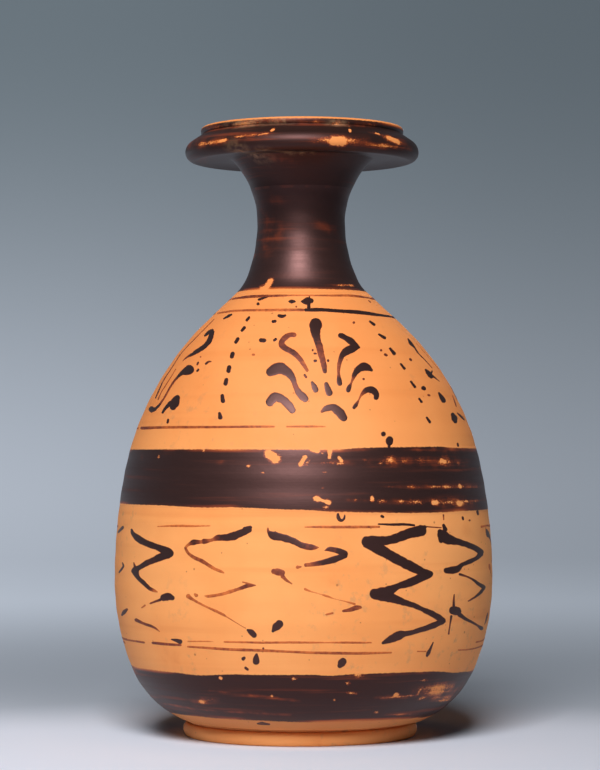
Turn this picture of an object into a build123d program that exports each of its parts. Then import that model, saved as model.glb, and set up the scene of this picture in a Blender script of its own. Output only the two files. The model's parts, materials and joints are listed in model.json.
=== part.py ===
"""Thrown oil flask: a ring foot, a pear-shaped body, a waisted neck and a flaring disc mouth.

The four clay pieces are thrown apart and set on one another with scored faces and slip.
The axis is Z, the foot stands on Z = 0, and sizes are millimetres and degrees.
"""

import os
from math import atan2, cos, radians, sin, sqrt, tan

from build123d import *

# Slip joints between the clay pieces
slip_thickness = 0.6
slip_setback = 0.5  # the slip stops this far short of a hidden edge
score_depth = 0.3  # rings scored into both faces of a joint, and filled by the slip
score_width = 0.8
score_count = 3

# Foot ring
foot_radius = 26.9  # at the fullest part of its rounded side
foot_height = 3.1
foot_bulge_height = 1.7
foot_top_inset = 0.8
foot_base_inset = 0.7
foot_rest_width = 4.4  # of the flat that stands on the table
foot_inner_slope = 35.0  # of the inside of the ring, from upright
foot_groove = 0.4  # the dark line above the ring, where its slip is set back
foot_off_centre = -0.8  # the ring was set on by hand, a little to one side

# Body
body_height = 97.5
belly_radius = 43.5
belly_height = 32.5  # above the underside of the body
base_radius = 27.4  # where the side leaves the flat underside
base_slope = 22.5  # of the side there, above level
lower_arc_ratio = 1.15  # a side is two arcs: the upper one's tangent length over the lower one's
shoulder_arc_ratio = 1.37
shoulder_straight = 9.2  # straight run of the shoulder below the neck
shoulder_slope = 46.5  # of that run, from upright
neck_joint_radius = 15.8  # outside, where the neck is set on
body_wall = 4.2

# Neck
neck_length = 23.4
waist_radius = 10.1
waist_height = 16.5  # above the foot of the neck
neck_arc_ratio = 3.4
neck_top_radius = 11.4
neck_bore_radius = 6.0

# Mouth
mouth_height = 14.2
throat_radius = 6.4
crease_radius = 16.4  # where the flare meets the underside of the disc
crease_height = 7.5  # above the foot of the mouth
mouth_radius = 27.0
edge_height = 8.4  # of the widest line of the disc, above the foot of the mouth
underside_height = 6.9  # of the outer part of the underside
underside_hollow = 0.35
edge_slope = 58.0  # of the disc's upper side where it meets the lip, from upright
edge_arc_ratio = 1.0
lip_radius = 23.4
lip_height = 1.9
lip_groove_depth = 0.25
lip_groove_width = 0.6
lip_round = 0.8
lip_width = 2.4
dish_radius = 9.4  # where the top rolls over into the throat
dish_depth = 2.3
throat_roll = 3.6  # height of that roll

# Heights of the pieces, from the table up
body_base = foot_height + slip_thickness
body_top = body_base + body_height
neck_base = body_top + slip_thickness
neck_top = neck_base + neck_length
mouth_base = neck_top + slip_thickness
mouth_top = mouth_base + mouth_height

# Ways that the outline runs, as it climbs
upright = Vector(0, 1)
base_way = Vector(cos(radians(base_slope)), sin(radians(base_slope)))
shoulder_way = Vector(-sin(radians(shoulder_slope)), cos(radians(shoulder_slope)))
shoulder_lean = tan(radians(shoulder_slope))


def arc_meeting(start, start_way, end, end_way, ratio):
    """The point where two tangent arcs from start to end meet, and the way that they run there."""
    span = end - start
    square = 2 * ratio * (start_way.dot(end_way) - 1)
    linear = -2 * span.dot(start_way + end_way * ratio)
    reach = (-linear - sqrt(linear**2 - 4 * square * span.dot(span))) / (2 * square)
    near = start + start_way * reach
    far = end - end_way * (reach * ratio)
    return near + (far - near) / (1 + ratio), (far - near).normalized()


def inward(way):
    """The way to the left of a line that climbs, which is into the wall."""
    return Vector(-way.Y, way.X)


def slip_outline(base, low_inner, low_outer, high_inner, high_outer):
    """Corners of a layer of slip, with the ridges that fill the scored rings of both faces."""
    top = base + slip_thickness
    inner = max(low_inner, high_inner)
    outer = min(low_outer, high_outer)
    pitch = (outer - inner) / score_count
    rings = [inner + pitch * (ring + 0.5) for ring in range(score_count)]
    lower = [(low_inner, base)]
    upper = [(high_inner, top)]
    for radius in rings:
        for step, rise in ((-0.5, 0), (0, score_depth), (0.5, 0)):
            lower.append((radius + step * score_width, base - rise))
            upper.append((radius + step * score_width, top + rise))
    lower.append((low_outer, base))
    upper.append((high_outer, top))
    return lower + upper[::-1]


# Foot ring, on its own axis
foot_plane = Plane(origin=(foot_off_centre, 0, 0), x_dir=(1, 0, 0), z_dir=(0, -1, 0))
foot_axis = Axis((foot_off_centre, 0, 0), (0, 0, 1))
foot_rest_radius = foot_radius - foot_base_inset
foot_inner_base = foot_rest_radius - foot_rest_width
foot_inner_top = foot_inner_base - foot_height * tan(radians(foot_inner_slope))
foot_top_radius = foot_radius - foot_top_inset
slip_inner = foot_inner_top + slip_setback
slip_outer = foot_top_radius - foot_groove

with BuildPart() as foot_slip:
    with BuildSketch(foot_plane):
        with BuildLine():
            outline = slip_outline(foot_height, slip_inner, slip_outer, slip_inner, slip_outer)
            Polyline(*outline, close=True)
        make_face()
    revolve(axis=foot_axis)
foot_slip.part.label = "foot_slip"

with BuildPart() as foot_ring:
    with BuildSketch(foot_plane):
        with BuildLine():
            Line((foot_inner_base, 0), (foot_rest_radius, 0))
            ThreePointArc(
                (foot_rest_radius, 0),
                (foot_radius, foot_bulge_height),
                (foot_top_radius, foot_height),
            )
            Line((foot_top_radius, foot_height), (foot_inner_top, foot_height))
            Line((foot_inner_top, foot_height), (foot_inner_base, 0))
        make_face()
    revolve(axis=foot_axis)
    add(foot_slip.part, mode=Mode.SUBTRACT)
foot_ring.part.label = "foot_ring"

# Body: one line for the outside and the same line, set in by the wall, for the inside
base_point = Vector(base_radius, body_base)
belly_point = Vector(belly_radius, body_base + belly_height)
neck_joint = Vector(neck_joint_radius, body_top)
shoulder_point = neck_joint - shoulder_way * shoulder_straight
lower_meeting, lower_way = arc_meeting(base_point, base_way, belly_point, upright, lower_arc_ratio)
upper_meeting, upper_way = arc_meeting(
    belly_point, upright, shoulder_point, shoulder_way, shoulder_arc_ratio
)
body_opening = neck_joint_radius - body_wall / cos(radians(shoulder_slope))
neck_foot_radius = neck_joint_radius - slip_thickness * shoulder_lean
neck_foot_bore = body_opening - slip_thickness * shoulder_lean


def body_side(inset):
    """Draws the side of the body from its base to its shoulder, set into the wall by inset."""
    base = base_point + inward(base_way) * inset
    lower = lower_meeting + inward(lower_way) * inset
    belly = belly_point + inward(upright) * inset
    upper = upper_meeting + inward(upper_way) * inset
    shoulder = shoulder_point + inward(shoulder_way) * inset
    TangentArc(base, lower, tangent=base_way)
    TangentArc(lower, belly, tangent=lower_way)
    TangentArc(belly, upper, tangent=upright)
    TangentArc(upper, shoulder, tangent=upper_way)
    return base, shoulder


with BuildPart() as neck_slip:
    with BuildSketch(Plane.XZ):
        with BuildLine():
            outline = slip_outline(
                body_top,
                body_opening + slip_setback,
                neck_joint_radius,
                neck_foot_bore + slip_setback,
                neck_foot_radius,
            )
            Polyline(*outline, close=True)
        make_face()
    revolve()
neck_slip.part.label = "neck_slip"

with BuildPart() as body:
    with BuildSketch(Plane.XZ):
        with BuildLine():
            outer_base, outer_shoulder = body_side(0)
            Line(outer_shoulder, neck_joint)
            Line(neck_joint, (body_opening, body_top))
            inner_base, inner_shoulder = body_side(body_wall)
            Line((body_opening, body_top), inner_shoulder)
            Line(inner_base, (0, inner_base.Y))
            Line((0, inner_base.Y), (0, body_base))
            Line((0, body_base), outer_base)
        make_face()
    revolve()
    add(foot_slip.part, mode=Mode.SUBTRACT)
    add(neck_slip.part, mode=Mode.SUBTRACT)
body.part.label = "body"

# Neck: a waisted outside and a straight bore that opens into the body
waist_point = Vector(waist_radius, neck_base + waist_height)
neck_foot = Vector(neck_foot_radius, neck_base)
neck_meeting, neck_way = arc_meeting(neck_foot, shoulder_way, waist_point, upright, neck_arc_ratio)
neck_flare = 2 * atan2(neck_top_radius - waist_radius, neck_length - waist_height)
bore_flare_radius = (neck_foot_bore - neck_bore_radius) / (1 - cos(radians(shoulder_slope)))
bore_bottom = neck_base + bore_flare_radius * sin(radians(shoulder_slope))
mouth_foot_radius = neck_top_radius + slip_thickness * tan(neck_flare)

with BuildPart() as mouth_slip:
    with BuildSketch(Plane.XZ):
        with BuildLine():
            outline = slip_outline(
                neck_top,
                neck_bore_radius + slip_setback,
                neck_top_radius,
                throat_radius + slip_setback,
                mouth_foot_radius,
            )
            Polyline(*outline, close=True)
        make_face()
    revolve()
mouth_slip.part.label = "mouth_slip"

with BuildPart() as neck:
    with BuildSketch(Plane.XZ):
        with BuildLine():
            TangentArc(neck_foot, neck_meeting, tangent=shoulder_way)
            TangentArc(neck_meeting, waist_point, tangent=neck_way)
            TangentArc(waist_point, (neck_top_radius, neck_top), tangent=upright)
            Polyline(
                (neck_top_radius, neck_top),
                (neck_bore_radius, neck_top),
                (neck_bore_radius, bore_bottom),
            )
            TangentArc((neck_bore_radius, bore_bottom), (neck_foot_bore, neck_base), tangent=-upright)
            Line((neck_foot_bore, neck_base), neck_foot)
        make_face()
    revolve()
    add(neck_slip.part, mode=Mode.SUBTRACT)
    add(mouth_slip.part, mode=Mode.SUBTRACT)
neck.part.label = "neck"

# Mouth: a flare under a disc with a rounded edge, a grooved lip and a dished top
flare_foot = Vector(mouth_foot_radius, mouth_base)
flare_way = Vector(sin(neck_flare), cos(neck_flare))
crease = Vector(crease_radius, mouth_base + crease_height)
edge_point = Vector(mouth_radius, mouth_base + edge_height)
edge_round = edge_height - underside_height
underside = Vector(mouth_radius - edge_round, mouth_base + underside_height)
lip_base = Vector(lip_radius, mouth_top - lip_height)
edge_way = Vector(-sin(radians(edge_slope)), cos(radians(edge_slope)))
edge_meeting, edge_meeting_way = arc_meeting(edge_point, upright, lip_base, edge_way, edge_arc_ratio)
lip_inner = lip_radius - lip_width
dish_floor = mouth_top - dish_depth
throat_top = dish_floor - throat_roll

with BuildPart() as mouth:
    with BuildSketch(Plane.XZ):
        with BuildLine():
            TangentArc(flare_foot, crease, tangent=flare_way)
            SagittaArc(crease, underside, underside_hollow)
            TangentArc(underside, edge_point, tangent=(1, 0))
            TangentArc(edge_point, edge_meeting, tangent=upright)
            TangentArc(edge_meeting, lip_base, tangent=edge_meeting_way)
            ThreePointArc(
                lip_base,
                lip_base + Vector(-lip_groove_depth, lip_groove_width / 2),
                lip_base + Vector(0, lip_groove_width),
            )
            Line(lip_base + Vector(0, lip_groove_width), (lip_radius, mouth_top - lip_round))
            TangentArc(
                (lip_radius, mouth_top - lip_round),
                (lip_radius - lip_round, mouth_top),
                tangent=upright,
            )
            Line((lip_radius - lip_round, mouth_top), (lip_inner, mouth_top))
            Line((lip_inner, mouth_top), (dish_radius, dish_floor))
            TangentArc((throat_radius, throat_top), (dish_radius, dish_floor), tangent=upright)
            Line((throat_radius, throat_top), (throat_radius, mouth_base))
            Line((throat_radius, mouth_base), flare_foot)
        make_face()
    revolve()
    add(mouth_slip.part, mode=Mode.SUBTRACT)
mouth.part.label = "mouth"

os.makedirs("parts", exist_ok=True)
for piece in (foot_ring, foot_slip, body, neck_slip, neck, mouth_slip, mouth):
    export_step(piece.part, f"parts/{piece.part.label}.step")
    print(f"{piece.part.label}: {piece.part.volume / 1000:.2f} cm3")
print(f"height {mouth_top:.1f}, bore from {bore_bottom:.2f} to {neck_top:.2f}, opening {body_opening:.2f}")
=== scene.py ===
"""Dresses a thrown oil flask: clay, brushed slip and a pale sweep for it to stand on.

Lengths are metres. The flask stands on Z = 0, with its painted front towards -Y.
Angles round the flask start at the front and grow towards +X.
"""

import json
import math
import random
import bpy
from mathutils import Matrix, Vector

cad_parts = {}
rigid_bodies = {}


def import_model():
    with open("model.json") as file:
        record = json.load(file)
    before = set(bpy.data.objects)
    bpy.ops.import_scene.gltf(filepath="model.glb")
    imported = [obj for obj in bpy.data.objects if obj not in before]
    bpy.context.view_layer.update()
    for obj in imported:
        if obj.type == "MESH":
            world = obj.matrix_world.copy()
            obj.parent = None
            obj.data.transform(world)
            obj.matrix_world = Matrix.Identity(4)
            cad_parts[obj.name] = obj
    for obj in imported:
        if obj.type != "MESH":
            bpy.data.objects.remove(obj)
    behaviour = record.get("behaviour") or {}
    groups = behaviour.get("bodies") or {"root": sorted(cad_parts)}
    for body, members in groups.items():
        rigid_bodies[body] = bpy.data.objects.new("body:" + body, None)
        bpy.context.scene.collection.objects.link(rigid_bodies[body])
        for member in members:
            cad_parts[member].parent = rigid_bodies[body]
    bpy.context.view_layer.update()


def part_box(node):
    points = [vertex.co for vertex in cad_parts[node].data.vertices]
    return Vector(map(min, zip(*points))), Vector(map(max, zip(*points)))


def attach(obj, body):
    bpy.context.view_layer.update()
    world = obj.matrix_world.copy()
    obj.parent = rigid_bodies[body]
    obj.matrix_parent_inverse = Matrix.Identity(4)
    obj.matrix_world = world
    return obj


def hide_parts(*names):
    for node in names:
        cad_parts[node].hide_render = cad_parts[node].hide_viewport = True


bl_info = {
    "name": "Painted oil flask",
    "version": (1, 0, 0),
    "blender": (4, 5, 0),
    "location": "View3D > Sidebar > Flask",
    "description": "Builds a thrown oil flask with dark bands and brushed ornament",
    "category": "Add Mesh",
}

import bmesh
import bpy
from bpy.props import FloatProperty, FloatVectorProperty, IntProperty, PointerProperty
from mathutils import Matrix, Vector, noise
from mathutils.bvhtree import BVHTree
from mathutils.kdtree import KDTree

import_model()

MM = 0.001
UP = Vector((0, 1))  # in an outline, where X is the radius and Y the height
PHOTO_WIDTH = 600
PHOTO_HEIGHT = 770
PHOTO_AXIS = 303  # column of the flask's axis
SENSOR = 36.0  # millimetres, along the photo's longer side

BODY_LOW, BODY_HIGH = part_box("body")
NECK_LOW, NECK_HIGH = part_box("neck")
MOUTH_LOW, MOUTH_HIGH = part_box("mouth")
FOOT_LOW, FOOT_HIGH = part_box("foot_ring")
FOOT_SLIP_LOW, FOOT_SLIP_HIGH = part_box("foot_slip")
NECK_JOINT_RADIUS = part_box("neck_slip")[1].x
MOUTH_FOOT_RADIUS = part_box("mouth_slip")[1].x
FOOT_AXIS = (FOOT_LOW.x + FOOT_HIGH.x) / 2
FOOT_SLIP_AXIS = (FOOT_SLIP_LOW.x + FOOT_SLIP_HIGH.x) / 2


# Brush strokes as points of x, y, width and load, in pixels of the photo.
# A load of 1 fires black, 0.65 red brown and 0.4 orange brown, and 0.2 is hardly there.

FRONT_PALMETTE = {
    "centre leaf": (
        (315.7, 324.3, 12.5, 1), (315.5, 330.6, 10.2, 1), (316.5, 337.8, 7.7, 0.8),
        (319.1, 345.9, 7.1, 0.66), (321.6, 356.1, 6.3, 0.62), (323.9, 365.3, 5.6, 0.66),
        (324.9, 371.4, 4.1, 0.75),
    ),
    "upper left leaf": (
        (294.1, 334.9, 4.6, 0.55), (289, 335.2, 5.1, 0.6), (283.4, 339.3, 5.6, 0.58),
        (281.6, 344.4, 6.3, 0.62), (285.9, 348.5, 5.6, 0.74), (293.1, 352.6, 5.6, 0.66),
        (299.2, 358.2, 5.1, 0.58), (303.8, 364.8, 4.3, 0.55), (307.1, 370.4, 3.1, 0.55),
    ),
    "middle left leaf": (
        (270.6, 372, 9.2, 1), (273.7, 370.4, 10.2, 1), (279.3, 368.2, 11.5, 1), (285.4, 370.4, 9.7, 1),
        (290.5, 375, 7.6, 0.95), (293.6, 380.6, 5.6, 0.75), (295.6, 386.7, 5, 0.62),
        (299.2, 392.9, 6.6, 0.85), (303.3, 397, 8, 1), (305.2, 398.8, 6.6, 1),
    ),
    "lower left leaf": (
        (269.9, 402.4, 8, 1), (273.7, 397.8, 9.4, 1), (278.3, 397.4, 8.7, 1), (283.9, 400.5, 7.7, 1),
        (289, 405.6, 7.7, 1), (292.3, 410, 6.8, 1),
    ),
    "upper right hook": (
        (340.6, 335.4, 5.1, 1), (345.1, 337.6, 5.6, 1), (350.7, 341.3, 6.6, 1), (354.8, 344.9, 6, 1),
        (359.2, 347.3, 2.2, 0.9),
    ),
    "upper right leaf": (
        (358.4, 347.6, 2.6, 0.9), (353.3, 348.4, 7.6, 1), (347.1, 350.8, 8, 1), (342.6, 354.6, 6.1, 0.95),
        (340.5, 359.7, 4.6, 0.72), (339, 365.3, 4.1, 0.6), (338.5, 371.4, 2.9, 0.55),
        (338.8, 376.5, 3.6, 0.75), (339.2, 380.6, 5.1, 1), (339.7, 383.4, 5, 1),
    ),
    "middle right leaf": (
        (371.6, 370.4, 2.6, 0.9), (368.1, 367.9, 6.6, 1), (363.5, 366.8, 8.2, 1), (358.4, 369.4, 6.6, 1),
        (354.8, 374, 5.1, 0.85), (352.8, 379.1, 3.1, 0.58), (351.2, 383.2, 2, 0.55),
        (349.2, 387.2, 4.6, 0.9), (348.2, 390.3, 4.4, 0.95),
    ),
    "lower right leaf": (
        (376, 397.6, 4.8, 1), (376.2, 393.9, 6.1, 1), (372.7, 390.3, 6.9, 1), (367.6, 389.8, 5.9, 0.9),
        (363, 392.9, 4.1, 0.66), (360.4, 396.4, 2.2, 0.5), (358.4, 400.5, 1.8, 0.5),
        (355.8, 405.1, 3.9, 0.75), (354, 407.6, 3.3, 0.85),
    ),
    "left drop": ((312.3, 382.8, 3.1, 0.85), (314.3, 386.7, 5.3, 1), (315.5, 389.8, 5.8, 1)),
    "right drop": ((326.2, 384, 3.9, 0.85), (327.6, 388.3, 5.9, 1), (329.2, 392.9, 6.6, 1)),
    "base arc": (
        (321.8, 411.5, 2.6, 0.62), (326.2, 408.7, 5.6, 0.8), (332.3, 407.4, 7.1, 1), (338, 410.7, 8.7, 1),
        (342, 415.3, 8.2, 1), (343.7, 417.9, 7.1, 1),
    ),
    "upper fleck": ((312.7, 350.2, 2.2, 0.7),),
    "fleck below it": ((314.4, 353.6, 2, 0.7), (315.8, 353.6, 2, 0.7)),
    "left fleck": ((314.8, 360.9, 2.8, 0.8), (315.8, 360.8, 2.6, 0.8)),
    "right fleck": ((328, 360.7, 2.7, 0.8),),
    "far left fleck": ((304.6, 375, 2.2, 0.75), (306.2, 377.2, 2.2, 0.75)),
    "far right fleck": ((363.5, 379.1, 2.5, 0.6),),
}
RIGHT_HALF = ("upper right hook", "upper right leaf", "middle right leaf", "lower right leaf", "right drop")

LEFT_PALMETTE = {
    "upper hook": ((205.3, 335.2, 3.3, 1), (208.5, 332.5, 5, 1), (211.6, 330.9, 4.4, 1)),
    "upper leaf": (
        (212.2, 332, 4.5, 1), (210.9, 337, 5, 1), (208.5, 342, 4.8, 1), (204.3, 346.5, 4.5, 1),
        (199.3, 349.9, 4.3, 0.95), (194.4, 352.8, 4.1, 0.9), (189.4, 355.7, 3.1, 0.8),
        (185.2, 358.6, 1.8, 0.7), (182.8, 361, 0.8, 0.5),
    ),
    "middle leaf": (
        (189.4, 369.7, 9.5, 1), (186.1, 371.4, 7.9, 1), (181.9, 373.1, 4.6, 0.95), (178.6, 376, 3.2, 0.8),
        (173.6, 381.8, 2.5, 0.6), (169.5, 388.4, 2.3, 0.55), (165.4, 395.9, 2.3, 0.55),
        (161.2, 402.5, 2.5, 0.65), (157.9, 406.6, 3.1, 0.85), (154.6, 409.1, 4, 1), (151.9, 409.3, 6.6, 1),
    ),
    "thin leaf": (
        (175.7, 369.3, 1.2, 0.45), (171.2, 376.8, 1.4, 0.48), (165.4, 385.9, 1.6, 0.5),
        (161.2, 392.5, 1.7, 0.52), (158.3, 399.2, 1.9, 0.58),
    ),
    "outer leaf": (
        (214, 319.5, 1.6, 0.6), (196.5, 337.2, 1.6, 0.6), (181.6, 353, 1.7, 0.62), (171.8, 367.9, 2, 0.65),
        (163.6, 380.3, 2.4, 0.7), (158.7, 391, 2.8, 0.75), (155.8, 397.5, 2.4, 0.7),
    ),
    "lower drop": ((177.4, 397.6, 5.4, 1), (174.9, 402.5, 9, 1), (173, 407, 6.4, 1)),
    "lower drop's tail": ((171, 402.6, 4.5, 1), (165.4, 408.3, 3.1, 0.95), (162.6, 412.6, 2.2, 0.85)),
    "lower fleck": ((168.2, 419.8, 2.2, 0.85), (167.6, 422.4, 2.6, 0.85)),
    "upper fleck": ((200.6, 356.9, 1.7, 0.5),),
    "middle fleck": ((198.2, 362.7, 2.1, 0.8), (197.4, 364.3, 2.1, 0.8)),
    "inner fleck": ((198.4, 369.6, 2.1, 0.85), (197.2, 371, 2.1, 0.85)),
    "dash": ((206.1, 363.7, 2.4, 0.85), (208.4, 361.9, 2, 0.75), (211.2, 361.6, 1, 0.6)),
}

RIGHT_PALMETTE = {
    "upper drop": ((408.2, 339.2, 2.2, 0.9), (410.6, 342.9, 5.1, 1), (413.6, 346.3, 3.2, 1)),
    "upper tail": (
        (413.9, 346.6, 2.6, 0.95), (419, 354, 1.7, 0.8), (425.4, 360.5, 1.5, 0.75),
        (431.9, 367.9, 1.2, 0.6),
    ),
    "outer tail": ((416.5, 343.5, 1, 0.4), (427, 355.5, 1, 0.4), (438, 368.5, 1, 0.4)),
    "middle drop": ((425.8, 369.8, 2.3, 0.9), (429.6, 374.3, 6.5, 1), (431, 376.2, 5, 1)),
    "middle tail": ((431, 375, 4, 1), (434.2, 377.1, 2.3, 0.8), (439.3, 381.3, 1, 0.5)),
    "middle spur": ((432, 371, 1.4, 0.8), (431, 374, 2, 0.9)),
    "lower drop": ((438.9, 393, 1.8, 0.9), (441.6, 397, 4.5, 1), (443.7, 400.3, 5.2, 1)),
    "base drop": ((452.9, 415, 5, 1), (454.6, 418.3, 6.8, 1), (455.4, 421.2, 4.4, 1)),
    "upper smear": ((452.5, 396, 2, 0.45), (454.5, 401, 2.6, 0.6), (456, 405.8, 2, 0.5)),
    "lower smear": ((457.6, 413.4, 1.8, 0.7), (461, 416.4, 3.2, 0.85), (464, 419.4, 2.2, 0.8)),
}

LEFT_DOT_ROW = {
    "first": ((249, 317.6, 2.7, 0.9), (246.8, 320.2, 2.7, 0.9)),
    "second": ((244.6, 327.6, 3.1, 1), (242, 330.4, 3.1, 1)),
    "third": ((237.9, 338.9, 3.5, 1), (235.8, 342.2, 3.3, 1)),
    "fourth": ((232.8, 353.8, 4.3, 1), (231.8, 356.6, 4.1, 1)),
    "fifth": ((229.3, 367.4, 4.5, 1), (228.5, 371, 4.3, 1)),
    "sixth": ((226.4, 379.8, 3.9, 1), (225.5, 383.8, 3.9, 1)),
    "seventh": ((222.3, 395.8, 3.7, 1), (223.1, 401, 4.3, 1)),
    "eighth": ((219.6, 413.4, 2.9, 0.95), (220.4, 417.4, 4.5, 1)),
}
RIGHT_DOT_ROW = {
    "first": ((353.8, 322.6, 2.6, 0.6),),
    "second": ((369.9, 321.5, 2.1, 0.85), (374.2, 324.6, 2.8, 1)),
    "third": ((379.1, 334.4, 2.1, 0.85), (384.6, 337.9, 3.1, 1)),
    "fourth": ((390.2, 348.6, 2.5, 0.9), (394.2, 353.6, 3.5, 1)),
    "fifth": ((400.8, 364, 2.1, 0.85), (404.3, 368.4, 2.7, 1)),
    "sixth": ((410.9, 381.7, 2.3, 0.85), (414.9, 386.9, 2.7, 0.95)),
    "seventh": ((419.2, 398.7, 2.1, 0.85), (421.5, 401.8, 2.5, 0.95)),
    "eighth": ((426.7, 417.6, 2.1, 0.85), (429.8, 422, 2.7, 0.95)),
}
STRAY_DOTS = {
    "upper": ((381.1, 350.3, 2.5, 0.65),),
    "upper right": ((385.2, 354.5, 2.6, 0.65), (386.4, 355.3, 2.4, 0.65)),
    "outer": ((410.2, 359.2, 2.4, 0.7), (411, 360.1, 2.4, 0.7)),
    "lower": ((423.2, 387.9, 4, 0.95), (424.2, 388.6, 3.8, 0.95)),
    "lower right": ((428.2, 395, 2, 0.6), (429.4, 395.4, 2, 0.6)),
}

FAR_LEFT_ZIGZAG = {
    "edge tick top": ((118.9, 531.4, 3.4, 1), (122.5, 527.6, 3.5, 1)),
    "edge tick middle": ((122.5, 563, 1.5, 0.8), (123.2, 566.5, 2.5, 0.85), (119.4, 572, 2, 0.8)),
    "edge tick low": ((126.9, 609.4, 2.5, 0.7), (124.2, 612, 4, 0.8), (122.2, 614.6, 2.5, 0.8)),
    "first limb": (
        (131.6, 529.6, 2, 0.9), (132.8, 533.2, 4, 1), (136.9, 537.5, 6, 1), (142.6, 541.3, 6.7, 1),
        (150.3, 544.7, 6, 0.9), (157.9, 547.5, 6.2, 0.9), (165.6, 550.9, 8.6, 1), (169.6, 553.3, 8.4, 1),
    ),
    "second limb": (
        (168.4, 554.2, 7.7, 1), (161.7, 556.6, 7.7, 0.95), (154.1, 560, 6.2, 0.85),
        (147.4, 562.8, 5.9, 0.8), (140.7, 566.7, 4.8, 0.85), (135.6, 569.8, 6.5, 1),
    ),
    "third limb": (
        (135.2, 570.8, 7.6, 1), (137.8, 577.2, 4.3, 0.95), (143.6, 582.9, 4.3, 0.9),
        (149.3, 588.2, 3.6, 0.75), (154.1, 590.6, 3.2, 0.45), (157.3, 591.9, 1.2, 0.35),
    ),
    "third limb's spur": ((133.9, 562.8, 1.2, 0.6), (135, 567.4, 2.8, 0.8)),
    "fourth limb": ((163.8, 597.5, 7, 1), (168.4, 596.8, 7.6, 1), (172.4, 598, 4.6, 1)),
    "fourth tail": ((160.5, 599.7, 2.9, 0.85), (155, 601.6, 2.2, 0.7), (150.5, 603.4, 1.8, 0.6)),
    "fourth tail's end": ((145, 605.4, 1.7, 0.45), (142, 607.6, 1.4, 0.4)),
    "fifth limb": (
        (136.2, 619.9, 3.3, 0.7), (142.6, 623.1, 2.7, 0.6), (149.3, 625.5, 2.7, 0.64),
        (155, 627.9, 2.1, 0.58), (159.6, 631.5, 1, 0.4),
    ),
    "last drop": ((171.5, 639.4, 1.2, 0.8), (176.1, 640.3, 3.3, 1), (180, 641.7, 4.8, 1)),
}
LEFT_ZIGZAG = {
    "corner of the first limb": ((245, 529.4, 5, 0.85), (250.4, 527.4, 3.6, 0.85)),
    "first limb": (
        (248.4, 529.6, 7, 0.9), (241.1, 533.2, 7.2, 0.86), (233.5, 536, 8.1, 0.9),
        (225.8, 537.5, 6.7, 0.84), (218.2, 537.8, 6.2, 0.7), (211.5, 540.1, 3.3, 0.48),
        (204.3, 541.3, 5.3, 0.68), (201, 541.8, 3.5, 0.56), (194.3, 542.3, 5.5, 0.8),
        (188.5, 544.7, 2.9, 0.45), (185.6, 547.8, 2.7, 0.45),
    ),
    "second limb": (
        (185.6, 548.5, 2.7, 0.48), (188.5, 553.3, 2.9, 0.48), (194.3, 557.6, 3.6, 0.52),
        (201.9, 560.9, 4, 0.58), (208.6, 565.2, 3.3, 0.46), (215.3, 569.1, 3.3, 0.42),
        (221.1, 571.4, 2.9, 0.4), (223.7, 572.8, 1.4, 0.36),
    ),
    "third limb": (
        (255.3, 585.3, 1.4, 0.5), (249.8, 585.3, 4.3, 0.64), (245, 586.7, 4, 0.66),
        (238.3, 589.1, 3.3, 0.52), (230.6, 591.5, 3.6, 0.46), (223, 593.9, 3.3, 0.42),
        (215.3, 595.4, 3.1, 0.4), (207.7, 596.3, 2.9, 0.35), (205, 595.9, 1.2, 0.3),
    ),
    "third limb's spur": ((242.9, 582.1, 1.5, 0.42), (249.6, 583.9, 2, 0.5)),
    "corner fleck": ((194.9, 594.3, 2.2, 0.44), (196.3, 595.4, 3.6, 0.46)),
    "fourth limb": (
        (188.3, 596.2, 4.6, 0.42), (192.4, 599.2, 2.9, 0.42), (200, 603.5, 2.4, 0.42),
        (207.7, 607.3, 2.1, 0.4), (215.3, 610.7, 2.7, 0.42), (223, 614.5, 2.7, 0.42),
        (227.8, 617.4, 1.4, 0.38), (239.2, 624.5, 0.9, 0.36), (245.7, 628.2, 1, 0.4),
    ),
    "last drop": ((247.8, 630.1, 2.4, 0.95), (251.2, 632.2, 5.7, 1), (254.2, 635.2, 5.3, 1)),
}
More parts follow.
